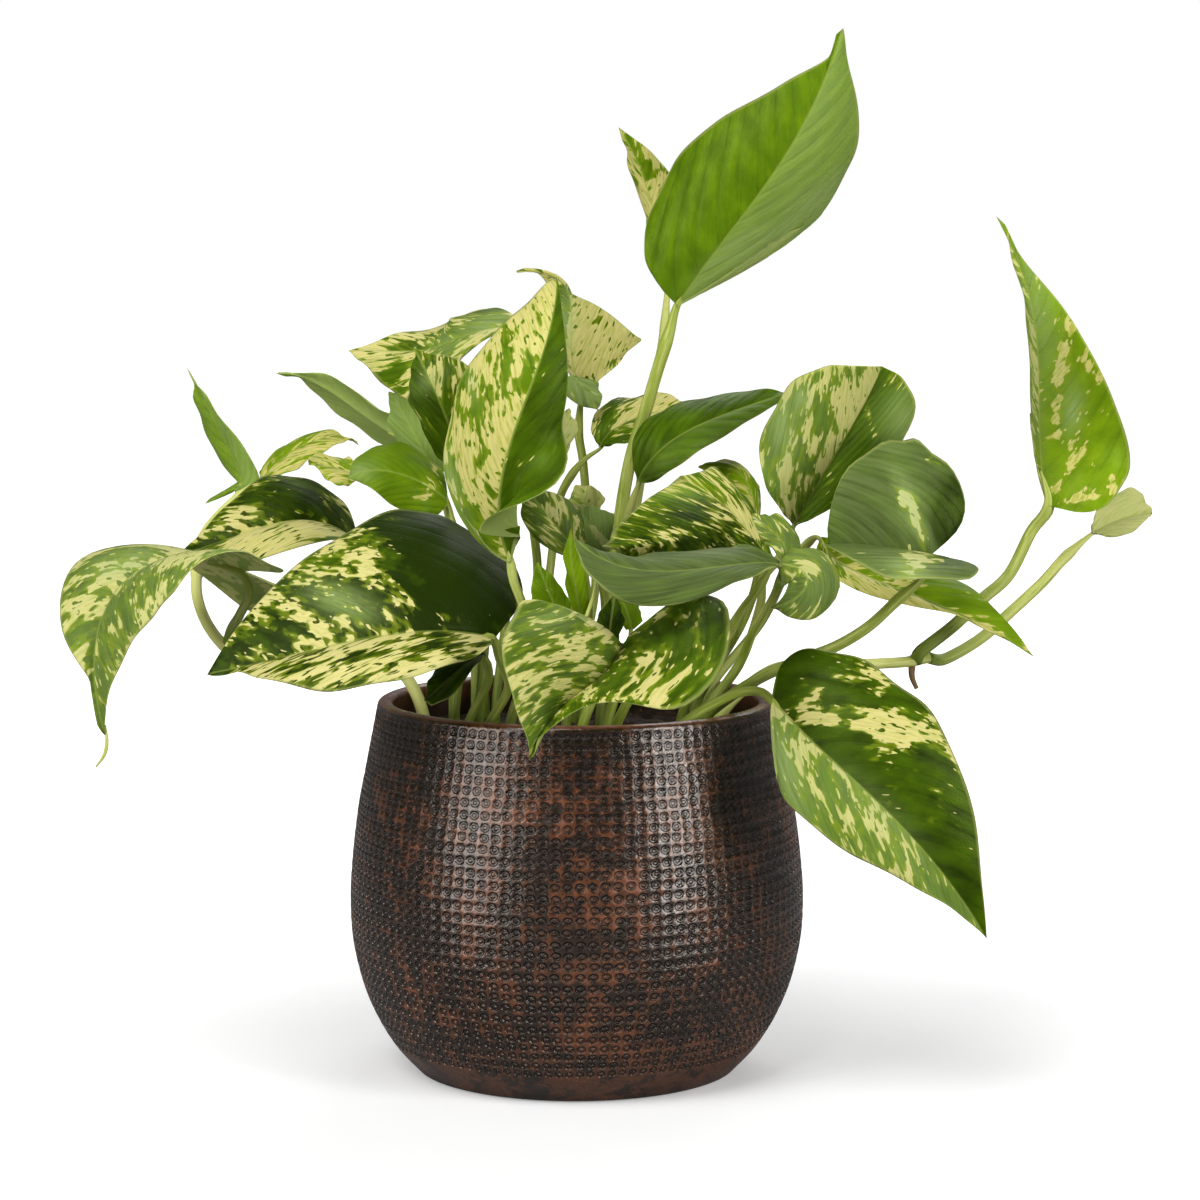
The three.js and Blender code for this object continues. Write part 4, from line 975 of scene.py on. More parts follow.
def tube(shape, points, radius_at, cream=0.0, deep=(0.0, 0.0), slot=1, around=14, spacing=2.2,
         facing=(0, -1, 0), groove=0.0):
    """Adds a closed tube: rings about a smooth path and square to it, from the direction facing all round.

    radius_at gives the radius for shares s of the length. A groove dents the rings in the direction facing.
    deep is how dark green the tube is at its start and at its end, and changes as s^2 between them.
    """
    count = max(FEWEST_RINGS, int(steps(points).sum() / spacing))
    line, length = smooth_path(points, count)
    tangents = unit(np.gradient(line, axis=0))
    normals = carried(facing, tangents)
    binormals = np.cross(tangents, normals)
    share = np.linspace(0, 1, count)
    angle = np.linspace(0, 2 * math.pi, around, endpoint=False)
    away = np.minimum(angle, 2 * math.pi - angle)
    radius = radius_at(share)[:, None] * (1 - groove * np.exp(-((away / GROOVE_WIDTH) ** 2)))
    rings = line[:, None] + radius[..., None] * (
        normals[:, None] * np.cos(angle)[:, None] + binormals[:, None] * np.sin(angle)[:, None])
    rings = np.concatenate([line[:1, None] + 0 * rings[:1], rings, line[-1:, None] + 0 * rings[-1:]])
    share = np.concatenate([[0], share, [1]])[:, None] + 0 * angle
    where = np.stack([share * length, angle * 2 + 0 * share, share], axis=-1)
    # On a stalk the darker end is painted shade, down inside the pot.
    dark = deep[0] + (deep[1] - deep[0]) * share**2
    painted = np.stack([cream + 0 * share, dark, 0 * share], axis=-1)
    body, triangles, where, painted = surface(rings, where, painted, closed=True)
    shape.add(body, triangles, slot, paint=painted, place=where, side=np.zeros_like(body))


def in_soil(foot):
    """The two ends of a straight piece that enters the soil."""
    return [(*foot, SOIL_TOP + FOOT_DEPTH), (*foot, SOIL_TOP - FOOT_DEPTH)]


def vine_points(vine):
    """The vine's path from the soil out over the rim."""
    return np.array([*in_soil(vine["foot"])[::-1], *spot(vine["spots"])])


def stalk_points(leaf):
    """The stalk's path from under the midrib down to the soil or to the nearest point of its vine."""
    curve = rib_curve(leaf)
    top, direction = on_rib(curve, np.array([STALK_START, 0.0]))
    upper = unit(np.cross(direction, spot(leaf["left"]) - spot(leaf["right"])))
    top = top - upper * STALK_UNDER
    path = spot(leaf["stalk"])
    if not isinstance(leaf["foot"], str):
        return np.array([*top, *path, *in_soil(leaf["foot"])])
    vine = next(vine for vine in VINES if vine["name"] == leaf["foot"])
    line, _ = smooth_path(vine_points(vine), 200)
    nearest = line[np.linalg.norm(line - path[-1], axis=1).argmin()]
    return np.array([*top, *path, nearest])


def stalk(shape, leaf, look):
    """Adds a leaf's stalk, which thickens quickly below the blade and then slowly towards its foot."""
    full = leaf.get("radius", STALK_RADIUS)

    def radius_at(share):
        collar = COLLAR * np.exp(-(((share - COLLAR_PLACE) / COLLAR_WIDTH) ** 2))
        near = STALK_AT_BLADE + (STALK_BELOW_BLADE - STALK_AT_BLADE) * soft_step(share, 0, STALK_NECK)
        return full * (near + (1 - STALK_BELOW_BLADE) * share + collar)

    _, direction = on_rib(rib_curve(leaf), np.array(0.0))
    upper = unit(np.cross(direction, spot(leaf["left"]) - spot(leaf["right"])))
    cream = look.get("stalk", STALK_CREAM)
    # The stalk's green darkens towards its foot: painted shade down inside the pot.
    tube(shape, stalk_points(leaf), radius_at, cream, STALK_DEEP_AND_FOOT_SHADE, facing=upper, groove=GROOVE)


def spike_radius(share):
    """A spike's radius: the root of a sine, which falls off to both ends but not to nothing."""
    return SPIKE_RADIUS * np.sin(math.pi * np.clip(share, 0.06, 0.94)) ** 0.5


def leaf_piece(leaf, look, seed):
    """One leaf in one mesh: its blade with further lobes, its stalk, and its spike if it has one."""
    shape = Shape()
    blade(shape, leaf, look, seed)
    for number, flap in enumerate(leaf.get("flaps", ()), 1):
        blade(shape, flap, {**look, **look.get("flap", {})}, seed + 50 * number)
    stalk(shape, leaf, look)
    if "spike" in leaf:
        tube(shape, spot(leaf["spike"]), spike_radius, SPIKE_CREAM, SPIKE_DEEP)
    return shape.piece(leaf["name"] + "_look", [blade_material, stem_material])


def vine_piece(vine):
    """One vine, swollen at every third point of its path, and its aerial roots."""
    shape = Shape()
    path = vine_points(vine)
    nodes = (travelled(path) / steps(path).sum())[3::3]

    def radius_at(share):
        swelling = sum(np.exp(-(((share - node) / NODE_WIDTH) ** 2)) for node in nodes)
        return VINE_RADIUS * (1 - VINE_TAPER * share) * (1 + NODE * swelling)

    tube(shape, path, radius_at, cream=vine["pale"], slot=0, around=18, spacing=1.6)
    for root in vine["roots"]:
        tube(shape, spot(root), lambda share: ROOT_RADIUS * (1 - ROOT_TAPER * share))
    return shape.piece(vine["name"] + "_look", [stem_material, root_material])


def wall_rows():
    """Rows of the pot's closed profile, as (radius, height), with the dimple row and the wall share of each.

    The profile starts in the middle of the underside. It runs up a plain band, where the dimple row is
    below 0, and the dimple rows, over a lip that is half an ellipse, and down to the middle of the floor.
    The wall share is 0 on the outside, rises over the lip and is 1 inside.
    """
    at = np.linspace(0, len(WALL_SHARES) - 1, LINE_POINTS)
    line = smooth(WALL_SHARES, at) * (POT_WIDTH / 2, POT_HEIGHT)
    top = line[-1]
    count = DIMPLE_ROWS * STEPS_UP
    band = np.linspace(0, PLAIN_BAND, BAND_STEPS, endpoint=False)
    dimpled = np.linspace(PLAIN_BAND, travelled(line)[-1], count + 1)
    outside = read_along(line, np.concatenate([band, dimpled]))
    foot = outside[0, 0] * np.array([(0, 0), (0.5, 0), (0.97, 0)])
    turn = np.radians(np.linspace(0, 180, LIP_STEPS + 1)[1:])
    lip = top + np.stack([WALL / 2 * (np.cos(turn) - 1), (POT_HEIGHT - top[1]) * np.sin(turn)], axis=-1)
    height = np.linspace(top[1], POT_FLOOR, INSIDE_STEPS + 1)[1:]
    inside = np.stack([np.interp(height, line[:, 1], line[:, 0]) - WALL, height], axis=-1)
    floor = np.array([(inside[-1, 0] - FLOOR_ROUNDING, POT_FLOOR), (0, POT_FLOOR)])
    number = np.concatenate([
        np.full(len(foot), -4), np.linspace(-4, -0.5, len(band)), np.arange(count + 1) / STEPS_UP,
        np.full(len(lip) + len(inside) + len(floor), DIMPLE_ROWS),
    ])
    wall = np.concatenate([
        np.zeros(len(foot) + len(outside)), np.linspace(0, 0.6, len(lip)), np.ones(len(inside) + len(floor)),
    ])
    return np.concatenate([foot, outside, lip, inside, floor]), number, wall


def ring_at(column, row):
    """Depth, 0 to 1, of the ring-shaped dents, for numbers of columns and rows that may lie between dimples.

    It is exp(-((r - ring) / softness)^2) of the distance r from the dimple's middle, with the widths
    squeezed, so that rings are ovals. The middle drifts by the sine of a sum of its column and its row.
    """
    i, j = np.floor(column), np.floor(row)
    seed = DRIFT_BY_COLUMN * i + DRIFT_BY_ROW * j
    x = (column - i - 0.5 - DIMPLE_DRIFT * np.sin(seed)) * PITCH_ROUND * DIMPLE_SQUEEZE
    y = (row - j - 0.5 - DIMPLE_DRIFT * np.sin(seed + DRIFT_UP)) * PITCH_UP
    return np.exp(-(((np.hypot(x, y) - DIMPLE_RING) / DIMPLE_SOFTNESS) ** 2)) * (row >= 0)


def about_axis(radius, height, angle):
    """Points at radii and heights, turned about the pot's axis by angles."""
    return np.stack(np.broadcast_arrays(radius * np.cos(angle), radius * np.sin(angle), height), axis=-1)


def pot_piece():
    """The pot: its profile turned about the axis, with ring-shaped dents stamped into the outside."""
    profile, number, wall = wall_rows()
    base, height = profile[:, :1], profile[:, 1:]
    column = np.arange(DIMPLES_ROUND * STEPS_ROUND) / STEPS_ROUND
    angle = column * 2 * math.pi / DIMPLES_ROUND
    number, wall = number[:, None] + 0 * column, wall[:, None] + 0 * column
    dent = DIMPLE_DEPTH * ring_at(column, number) * (1 - wall)
    wobble = WOBBLE * np.sin(WOBBLES_ROUND * angle + 1) * np.sin(height / WOBBLE_HEIGHT)
    radius = base - dent + wobble * (base > 1)
    body, triangles, number, wall = surface(about_axis(radius, height, angle), number, wall, closed=True)
    shape = Shape()
    shape.add(body, triangles, row=number, wall=wall)
    return shape.piece("pot_look", [clay_material])


def soil_piece():
    """The potting mix: a closed drum whose top is heaped with hundreds of round crumbs.

    The height at a point is the highest of the crumbs there, each sqrt(r^2 - d^2) of the distance d to its
    middle, flattened.
    """
    random = np.random.default_rng(11)
    rim = POT_WIDTH / 2 * WALL_SHARES[-2][0] - WALL - SOIL_GAP
    radius = rim * np.sqrt(np.linspace(0, 1, SOIL_RINGS))[:, None]
    angle = np.linspace(0, 2 * math.pi, SOIL_COLUMNS, endpoint=False)
    x, y = radius * np.cos(angle), radius * np.sin(angle)
    middle = random.uniform(-rim, rim, (CRUMBS, 2))
    size = random.uniform(*CRUMB_RADII, CRUMBS)
    height = np.zeros(x.shape)
    for (across, deep), crumb in zip(middle, size):
        squared = (x - across) ** 2 + (y - deep) ** 2
        height = np.maximum(height, CRUMB_FLATNESS * np.sqrt(np.clip(crumb**2 - squared, 0, None)))
    height = np.where(radius > 0, height, height[:1].max())
    bottom = SOIL_TOP - SOIL_DEPTH
    wall = np.array([(rim, SOIL_TOP - SOIL_SHOULDER), (rim - 1, bottom), (0, bottom)])
    top = about_axis(radius, SOIL_TOP - SOIL_DIP + height, angle)
    lower = about_axis(wall[:, :1], wall[:, 1:], angle)
    shape = Shape()
    shape.add(*surface(np.concatenate([top, lower])[::-1], closed=True))
    return shape.piece("soil_look", [soil_material])


def color(red, green, blue):
    """Linear RGBA from red, green and blue of 0 to 255: ((c + 0.055) / 1.055)^2.4, or c / 12.92 when dark."""
    share = np.array([red, green, blue]) / 255
    linear = np.where(share > 0.04045, ((share + 0.055) / 1.055) ** 2.4, share / 12.92)
    return (*linear.tolist(), 1.0)


# The scale of a pattern along an axis that it hardly changes along
FLAT = 1e-6


class Nodes:
    """Adds shader nodes to one tree. An input is a number, a color or the output of another node."""

    def __init__(self, tree):
        self.tree = tree

    def add(self, kind, inputs, **settings):
        made = self.tree.nodes.new("ShaderNode" + kind)
        for name, value in settings.items():
            setattr(made, name, value)
        for name, value in inputs.items():
            if isinstance(value, bpy.types.NodeSocket):
                self.tree.links.new(value, made.inputs[name])
            else:
                made.inputs[name].default_value = value
        return made

    def math(self, operation, *values):
        return self.add("Math", dict(enumerate(values)), operation=operation).outputs[0]

    def mix(self, share, first, second):
        return self.add("Mix", {0: share, 6: first, 7: second}, data_type="RGBA").outputs[2]

    def step(self, value, low, high, start=0.0, end=1.0):
        inputs = {"Value": value, "From Min": low, "From Max": high, "To Min": start, "To Max": end}
        return self.add("MapRange", inputs, interpolation_type="SMOOTHSTEP").outputs[0]

    def scaled(self, place, sizes):
        """A place measured in the sizes of a pattern along its first two axes, and flat along the third."""
        across, along = sizes
        return self.add("Mapping", {"Vector": place, "Scale": (1 / across, 1 / along, FLAT)}).outputs[0]

    def noise(self, vector, scale=1.0, detail=2.0, roughness=0.5, distortion=0.0):
        inputs = {"Vector": vector, "Scale": scale, "Detail": detail, "Roughness": roughness}
        return self.add("TexNoise", {**inputs, "Distortion": distortion}).outputs["Fac"]

    def pattern(self, place, sizes, **settings):
        """Noise with blobs as large as sizes."""
        return self.noise(self.scaled(place, sizes), **settings)

    def attribute(self, name, output="Fac"):
        return self.add("Attribute", {}, attribute_name=name).outputs[output]

    def parts(self, vector):
        return self.add("SeparateXYZ", {0: vector}).outputs

    def ramp(self, share, stops):
        made = self.add("ValToRGB", {0: share})
        elements = made.color_ramp.elements
        while len(elements) < len(stops):
            elements.new(0.5)
        for element, (position, value) in zip(elements, stops):
            element.position, element.color = position, value
        return made.outputs[0]

    def bump(self, height, strength, distance):
        return self.add("Bump", {"Height": height, "Strength": strength, "Distance": distance}).outputs[0]


def material(name, build, constants):
    """A Principled material: build gives its linked inputs, constants set the sockets that stay the same."""
    made = bpy.data.materials.new(name)
    made.use_nodes = True
    nodes = Nodes(made.node_tree)
    shader = made.node_tree.nodes["Principled BSDF"]
    for key, value in constants.items():
        shader.inputs[key].default_value = value
    for key, socket in build(nodes).items():
        made.node_tree.links.new(socket, shader.inputs[key])
    return made


def group(name, inputs, outputs, build):
    """A shader node group. inputs and outputs are names with kinds, and build gives the output sockets."""
    tree = bpy.data.node_groups.new(name, "ShaderNodeTree")
    for key, kind in inputs.items():
        tree.interface.new_socket(key, in_out="INPUT", socket_type="NodeSocket" + kind)
    for key, kind in outputs.items():
        tree.interface.new_socket(key, in_out="OUTPUT", socket_type="NodeSocket" + kind)
    nodes = Nodes(tree)
    source = tree.nodes.new("NodeGroupInput").outputs
    target = tree.nodes.new("NodeGroupOutput").inputs
    for key, socket in build(nodes, source).items():
        tree.links.new(socket, target[key])
    return tree


# Sizes of the patterns on a blade in millimetres, across the veins and along them. A minus mirrors a
# pattern.
PATCHES = (6.5, 21.0)
STREAKS = (2.6, 9.0)
DASHES = (1.6, 4.6)
FLECKS = (-1.3, 5.2)
THREADS = (-0.9, 8.0)
TONES = (7.0, 14.0)
FIBRES = (1.3, 18.0)
GRAIN = (0.9, 1.2)

# How much patches and streaks count in the marbling, how far the painted cream raises it, and the height at
# which it turns cream. Each edge is where a mask starts to rise and where it is full, and each pull is how
# much easier dashes and flecks become per unit of the marbling's height.
PATCH_SHARE = 0.55
STREAK_SHARE = 0.45
CREAM_RAISE = 0.4
CREAM_LIMIT = 0.704
CREAM_EDGE = (-0.016, 0.016)
PALE_EDGE = (-0.13, 0.0)
DASH_EDGE = (0.575, 0.62)
DASH_PULL = -0.5
FLECK_EDGE = (0.6, 0.64)
FLECK_PULL = 0.9


def marbling(nodes, source):
    """Masks of cream and of pale green, and cream's threads.

    over is patches + streaks + cream less a limit. Patches are cream where it is above zero. Green dashes in
    cream and cream flecks in green get rarer away from zero, and pale green begins a little below it.
    """
    place, cream = source["Place"], source["Cream"]
    patches = nodes.pattern(place, PATCHES, detail=2.0, distortion=0.1)
    streaks = nodes.pattern(place, STREAKS, detail=1.0)
    dashes = nodes.pattern(place, DASHES, detail=0.6)
    flecks = nodes.pattern(place, FLECKS, detail=0.6)
    threads = nodes.pattern(place, THREADS, detail=2.0)
    field = nodes.math("MULTIPLY_ADD", patches, PATCH_SHARE, nodes.math("MULTIPLY", streaks, STREAK_SHARE))
    over = nodes.math("MULTIPLY_ADD", cream, CREAM_RAISE, nodes.math("SUBTRACT", field, CREAM_LIMIT))
    green_dash = nodes.step(nodes.math("MULTIPLY_ADD", over, DASH_PULL, dashes), *DASH_EDGE)
    cream_fleck = nodes.step(nodes.math("MULTIPLY_ADD", over, FLECK_PULL, flecks), *FLECK_EDGE)
    patch = nodes.math("SUBTRACT", nodes.step(over, *CREAM_EDGE), green_dash)
    pale = nodes.math("SUBTRACT", nodes.step(over, *PALE_EDGE), nodes.math("MULTIPLY", green_dash, 0.8))
    return {
        "Cream Mask": nodes.math("MAXIMUM", patch, cream_fleck),
        "Pale Mask": nodes.math("MAXIMUM", pale, 0.0),
        "Threads": threads,
    }


CREAM = color(203, 195, 114)
CREAM_SHADE = color(166, 172, 62)
CREAM_WHITE = color(214, 204, 142)
# Cream under the grey cast, which is partly painted sheen
CREAM_GREY_AND_SHEEN = color(172, 186, 126)
PALE_GREEN = color(138, 156, 28)
BRIGHT_GREEN = color(124, 156, 16)
MID_GREEN = color(82, 112, 8)
DARK_GREEN = color(30, 46, 4)
# Green under the grey cast, which is partly painted sheen
GREY_AND_SHEEN_GREEN = color(146, 166, 98)
RIB_GREEN = color(160, 176, 80)
EDGE_GREEN = color(178, 186, 104)
# The underside colours are the leaf's paler underside, lightened further with painted light, a glow through
# the leaf.
UNDER_GREEN_AND_GLOW = color(158, 174, 98)
UNDER_CREAM_AND_GLOW = color(226, 220, 142)


def green_tissue(nodes, deep, silver_and_sheen, tone, fibre, vein):
    """Green from bright to dark, uneven by tone, fibre and vein, under a silvery cast that is partly painted
    sheen.
    """
    depth = nodes.math("ADD", deep, nodes.math("MULTIPLY_ADD", tone, 0.7, -0.35))
    depth = nodes.math("ADD", depth, nodes.math("MULTIPLY_ADD", fibre, 0.18, -0.09))
    depth = nodes.math("ADD", depth, nodes.math("MULTIPLY_ADD", vein, -0.08, 0.05))
    green = nodes.ramp(depth, ((0.0, BRIGHT_GREEN), (0.5, MID_GREEN), (1.0, DARK_GREEN)))
    silver_and_sheen = nodes.math("MULTIPLY", silver_and_sheen, nodes.step(fibre, 0.3, 0.7, 0.55, 1.0))
    return nodes.mix(silver_and_sheen, green, GREY_AND_SHEEN_GREEN)


def cream_tissue(nodes, deep, grey, threads):
    """Cream with green threads in it, whiter where the green beside it is dark, and under the grey cast,
    partly painted sheen.
    """
    cream = nodes.mix(nodes.step(threads, 0.38, 0.54), CREAM_SHADE, CREAM)
    cream = nodes.mix(nodes.math("MULTIPLY", deep, 0.6), cream, CREAM_WHITE)
    return nodes.mix(nodes.math("MULTIPLY", grey, 0.8), cream, CREAM_GREY_AND_SHEEN)


def leaf_skin(nodes):
    """Leaf tissue: marbled greens with a pale midrib and margin above, duller below, waxy and quilted."""
    place = nodes.attribute("place", "Vector")
    cream, deep, grey = nodes.parts(nodes.attribute("paint", "Vector"))
    off, out, under = nodes.parts(nodes.attribute("side", "Vector"))
    marble = nodes.add("Group", {"Place": place, "Cream": cream}, node_tree=marbling_group).outputs
    tone = nodes.pattern(place, TONES, detail=3.0)
    fibre = nodes.pattern(place, FIBRES, detail=2.0)
    vein = nodes.math("ABSOLUTE", nodes.math("SINE", nodes.math("MULTIPLY", nodes.parts(place)[2], math.pi)))
    line = nodes.step(vein, 0.0, 0.12, 1.0, 0.0)
    middle = nodes.step(off, 0.2, 0.75, 1.0, 0.0)
    green = green_tissue(nodes, deep, grey, tone, fibre, vein)
    green = nodes.mix(nodes.math("MULTIPLY", marble["Pale Mask"], 0.52), green, PALE_GREEN)
    upper = nodes.mix(marble["Cream Mask"], green, cream_tissue(nodes, deep, grey, marble["Threads"]))
    upper = nodes.mix(nodes.math("MULTIPLY", line, 0.16), upper, DARK_GREEN)
    upper = nodes.mix(nodes.math("MULTIPLY", middle, 0.35), upper, RIB_GREEN)
    # The underside is lightened with painted light, a glow through the leaf.
    lower = nodes.mix(nodes.math("MULTIPLY", marble["Cream Mask"], 0.7), UNDER_GREEN_AND_GLOW, UNDER_CREAM_AND_GLOW)
    lower = nodes.mix(nodes.math("MULTIPLY", line, 0.15), lower, RIB_GREEN)
    lower = nodes.mix(0.35, lower, upper)
    skin = nodes.mix(under, upper, lower)
    grain = nodes.pattern(place, GRAIN, detail=2.0)
    height = nodes.math("MULTIPLY_ADD", fibre, 0.6, nodes.math("MULTIPLY", grain, 0.8))
    height = nodes.math("MULTIPLY_ADD", nodes.math("POWER", vein, 0.5), 0.8, height)
    rough = nodes.math("MULTIPLY_ADD", under, 0.15, 0.3)
    return {
        "Base Color": nodes.mix(nodes.step(out, 0.955, 0.995, 0.0, 0.5), skin, EDGE_GREEN),
        "Roughness": nodes.math("MULTIPLY_ADD", tone, 0.16, rough),
        "Normal": nodes.bump(height, 0.4, 0.0005),
    }


# Sizes of the patterns on stalks and roots, along them in millimetres and round them in half radians
STALK_STREAKS = (26.0, 1.6)
STALK_RIBS = (40.0, 0.7)
ROOT_MOTTLE = (3.0, 1.5)

STALK_GREEN = color(170, 184, 72)
STALK_PALE = color(212, 214, 126)
ROOT_DARK = color(88, 62, 36)
ROOT_LIGHT = color(150, 120, 76)


def stalk_skin(nodes):
    """Stalks and vines: pale green with long cream streaks, faintly ribbed along their length."""
    place = nodes.attribute("place", "Vector")
    cream, deep, _ = nodes.parts(nodes.attribute("paint", "Vector"))
    streaks = nodes.pattern(place, STALK_STREAKS, detail=3.0, roughness=0.6)
    over = nodes.math("MULTIPLY_ADD", cream, 0.5, nodes.math("SUBTRACT", streaks, 0.25))
    pale = nodes.math("MULTIPLY", nodes.step(over, 0.38, 0.62), nodes.math("SUBTRACT", 1.0, deep))
    ribs = nodes.pattern(place, STALK_RIBS, detail=1.0)
    return {
        "Base Color": nodes.mix(pale, nodes.mix(deep, STALK_GREEN, MID_GREEN), STALK_PALE),
        "Roughness": nodes.math("MULTIPLY_ADD", streaks, 0.2, 0.34),
        "Normal": nodes.bump(ribs, 0.3, 0.0004),
    }


def root_skin(nodes):
    """Aerial roots: dry brown, mottled along their length."""
    mottle = nodes.pattern(nodes.attribute("place", "Vector"), ROOT_MOTTLE, detail=4.0)
    return {
        "Base Color": nodes.mix(mottle, ROOT_DARK, ROOT_LIGHT),
        "Roughness": nodes.math("MULTIPLY_ADD", mottle, 0.2, 0.6),
        "Normal": nodes.bump(mottle, 0.6, 0.0006),
    }


POT_BLACK = color(30, 18, 11)
POT_BROWN = color(88, 50, 28)
POT_RUST = color(118, 66, 38)
POT_INSIDE = color(58, 38, 29)
POT_LIP = color(118, 66, 46)
# Colour of the painted shade in the ring grooves
POT_GROOVE_SHADE = color(11, 8, 6)


def dimples(nodes, place, row):
    """The rings of the pot's dimples, in the places that ring_at gives them: 1 in a groove, 0 beside it."""
    x, y, _ = nodes.parts(place)
    turn = nodes.math("MULTIPLY", nodes.math("ARCTAN2", y, x), DIMPLES_ROUND / (2 * math.pi))
    column = nodes.math("WRAP", turn, DIMPLES_ROUND, 0.0)
    parts = []
    for value, pitch, phase in ((column, PITCH_ROUND * DIMPLE_SQUEEZE, 0.0), (row, PITCH_UP, DRIFT_UP)):
        seed = nodes.math("MULTIPLY_ADD", nodes.math("FLOOR", column), DRIFT_BY_COLUMN, phase)
        seed = nodes.math("MULTIPLY_ADD", nodes.math("FLOOR", row), DRIFT_BY_ROW, seed)
        shift = nodes.math("MULTIPLY", nodes.math("SINE", seed), DIMPLE_DRIFT)
        inside = nodes.math("SUBTRACT", nodes.math("FRACT", value), nodes.math("ADD", shift, 0.5))
        parts.append(nodes.math("MULTIPLY", inside, pitch))
    distance = nodes.math("SQRT", nodes.math("ADD", *(nodes.math("MULTIPLY", part, part) for part in parts)))
    off = nodes.math("ABSOLUTE", nodes.math("SUBTRACT", distance, DIMPLE_RING))
    ring = nodes.step(off, 0.15, 0.75, 1.0, 0.0)
    return nodes.math("MULTIPLY", ring, nodes.step(row, -0.1, 0.1))


def clay_skin(nodes):
    """Fired clay under a patchy dark glaze: mottled black and brown, with rust where the glaze is thin."""
    place = nodes.add("TexCoord", {}).outputs["Object"]
    mottle = nodes.noise(place, 130.0, 6.0, 0.72, 0.3)
    clouds = nodes.noise(place, 32.0, 4.0, 0.6, 0.5)
    specks = nodes.noise(place, 420.0, 3.0, 0.6)
    row = nodes.attribute("row")
    low = nodes.step(row, -1.0, 4.0, 1.0, 0.0)
    patchy = nodes.math("MULTIPLY_ADD", specks, 0.3, mottle)
    patchy = nodes.math("MULTIPLY_ADD", clouds, 0.5, patchy)
    brown = nodes.step(nodes.math("MULTIPLY_ADD", low, 0.06, patchy), 0.86, 0.98)
    rust = nodes.step(nodes.math("MULTIPLY_ADD", clouds, 0.4, patchy), 1.2, 1.32)
    glaze = nodes.mix(brown, POT_BLACK, POT_BROWN)
    glaze = nodes.mix(nodes.math("MULTIPLY", rust, 0.8), glaze, POT_RUST)
    ring = dimples(nodes, place, row)
    # The ring grooves are darkened: painted shade in the dents.
    glaze = nodes.mix(nodes.math("MULTIPLY", ring, 0.8), glaze, POT_GROOVE_SHADE)
    wall = nodes.attribute("wall")
    lip = nodes.mix(nodes.step(mottle, 0.42, 0.62), POT_LIP, POT_BROWN)
    tone = nodes.mix(nodes.step(wall, 0.0, 0.12), glaze, lip)
    tone = nodes.mix(nodes.step(wall, 0.6, 0.9), tone, POT_INSIDE)
    rough = nodes.math("MULTIPLY_ADD", rust, 0.2, 0.08)
    rough = nodes.math("MULTIPLY_ADD", specks, 0.2, rough)
    height = nodes.math("MULTIPLY_ADD", specks, 0.25, nodes.math("MULTIPLY", mottle, 0.6))
    height = nodes.math("MULTIPLY_ADD", ring, -1.0, height)
    return {
        "Base Color": tone,
        "Roughness": nodes.math("MULTIPLY_ADD", wall, 0.3, rough),
        "Normal": nodes.bump(height, 1.0, 0.0008),
    }


SOIL_DARK = color(26, 18, 13)
SOIL_BROWN = color(74, 54, 38)
SOIL_FIBRE = color(128, 98, 66)


def soil_skin(nodes):
    """Damp potting mix: dark brown crumbs with lighter fibres."""
    place = nodes.add("TexCoord", {}).outputs["Object"]
    crumbs = nodes.noise(place, 240.0, 4.0, 0.65)
    long = nodes.add("Mapping", {"Vector": place, "Scale": (1.0, 0.25, 1.0)}).outputs[0]
    fibres = nodes.noise(long, 500.0, 2.0)
    tone = nodes.mix(nodes.step(crumbs, 0.35, 0.7), SOIL_DARK, SOIL_BROWN)
    tone = nodes.mix(nodes.step(fibres, 0.66, 0.74), tone, SOIL_FIBRE)
    return {
        "Base Color": tone,
        "Roughness": nodes.math("MULTIPLY_ADD", crumbs, 0.2, 0.72),
        "Normal": nodes.bump(crumbs, 0.8, 0.002),
    }


def floor_skin(nodes):
    """A white matt floor. For the camera only, it is lit up away from the pot, so that it stays white."""
    place = nodes.add("TexCoord", {}).outputs["Object"]
    grain = nodes.noise(place, 30.0)
    moved = nodes.add("Mapping", {"Vector": place, "Location": (-0.03, 0.2, 0.0)}).outputs[0]
    away = nodes.add("VectorMath", {0: moved}, operation="LENGTH").outputs["Value"]
    shown = nodes.add("LightPath", {}).outputs["Is Camera Ray"]
    near = nodes.step(away, 0.12, 0.6, 0.22, 0.71)
    far = nodes.step(away, 0.7, 1.6, 0.0, 0.31)
    lit = nodes.math("MULTIPLY", shown, nodes.math("ADD", near, far))
    white = nodes.mix(grain, color(229, 229, 229), color(233, 233, 233))
    return {
        "Base Color": nodes.mix(shown, color(140, 140, 140), white),
        "Emission Color": nodes.mix(lit, color(0, 0, 0), color(255, 255, 255)),
    }


marbling_group = group(
    "marbling", {"Place": "Vector", "Cream": "Float"},
    {"Cream Mask": "Float", "Pale Mask": "Float", "Threads": "Float"}, marbling)
blade_material = material("leaf_skin", leaf_skin, {
    "Specular IOR Level": 0.12, "Specular Tint": (0.8, 0.9, 0.4, 1.0), "Subsurface Weight": 0.3,
    "Subsurface Scale": 0.001, "Subsurface Radius": (1.6, 2.1, 0.5)})
stem_material = material("stalk_skin", stalk_skin, {"Specular IOR Level": 0.3})
root_material = material("root_skin", root_skin, {})
clay_material = material("glazed_clay", clay_skin, {
    "Specular IOR Level": 0.9, "Specular Tint": (1.0, 0.87, 0.78, 1.0), "Coat Weight": 0.2,
    "Coat Roughness": 0.1})
soil_material = material("potting_mix", soil_skin, {"Specular IOR Level": 0.3})
floor_material = material("pale_floor", floor_skin, {"Roughness": 0.9, "Emission Strength": 1.0})


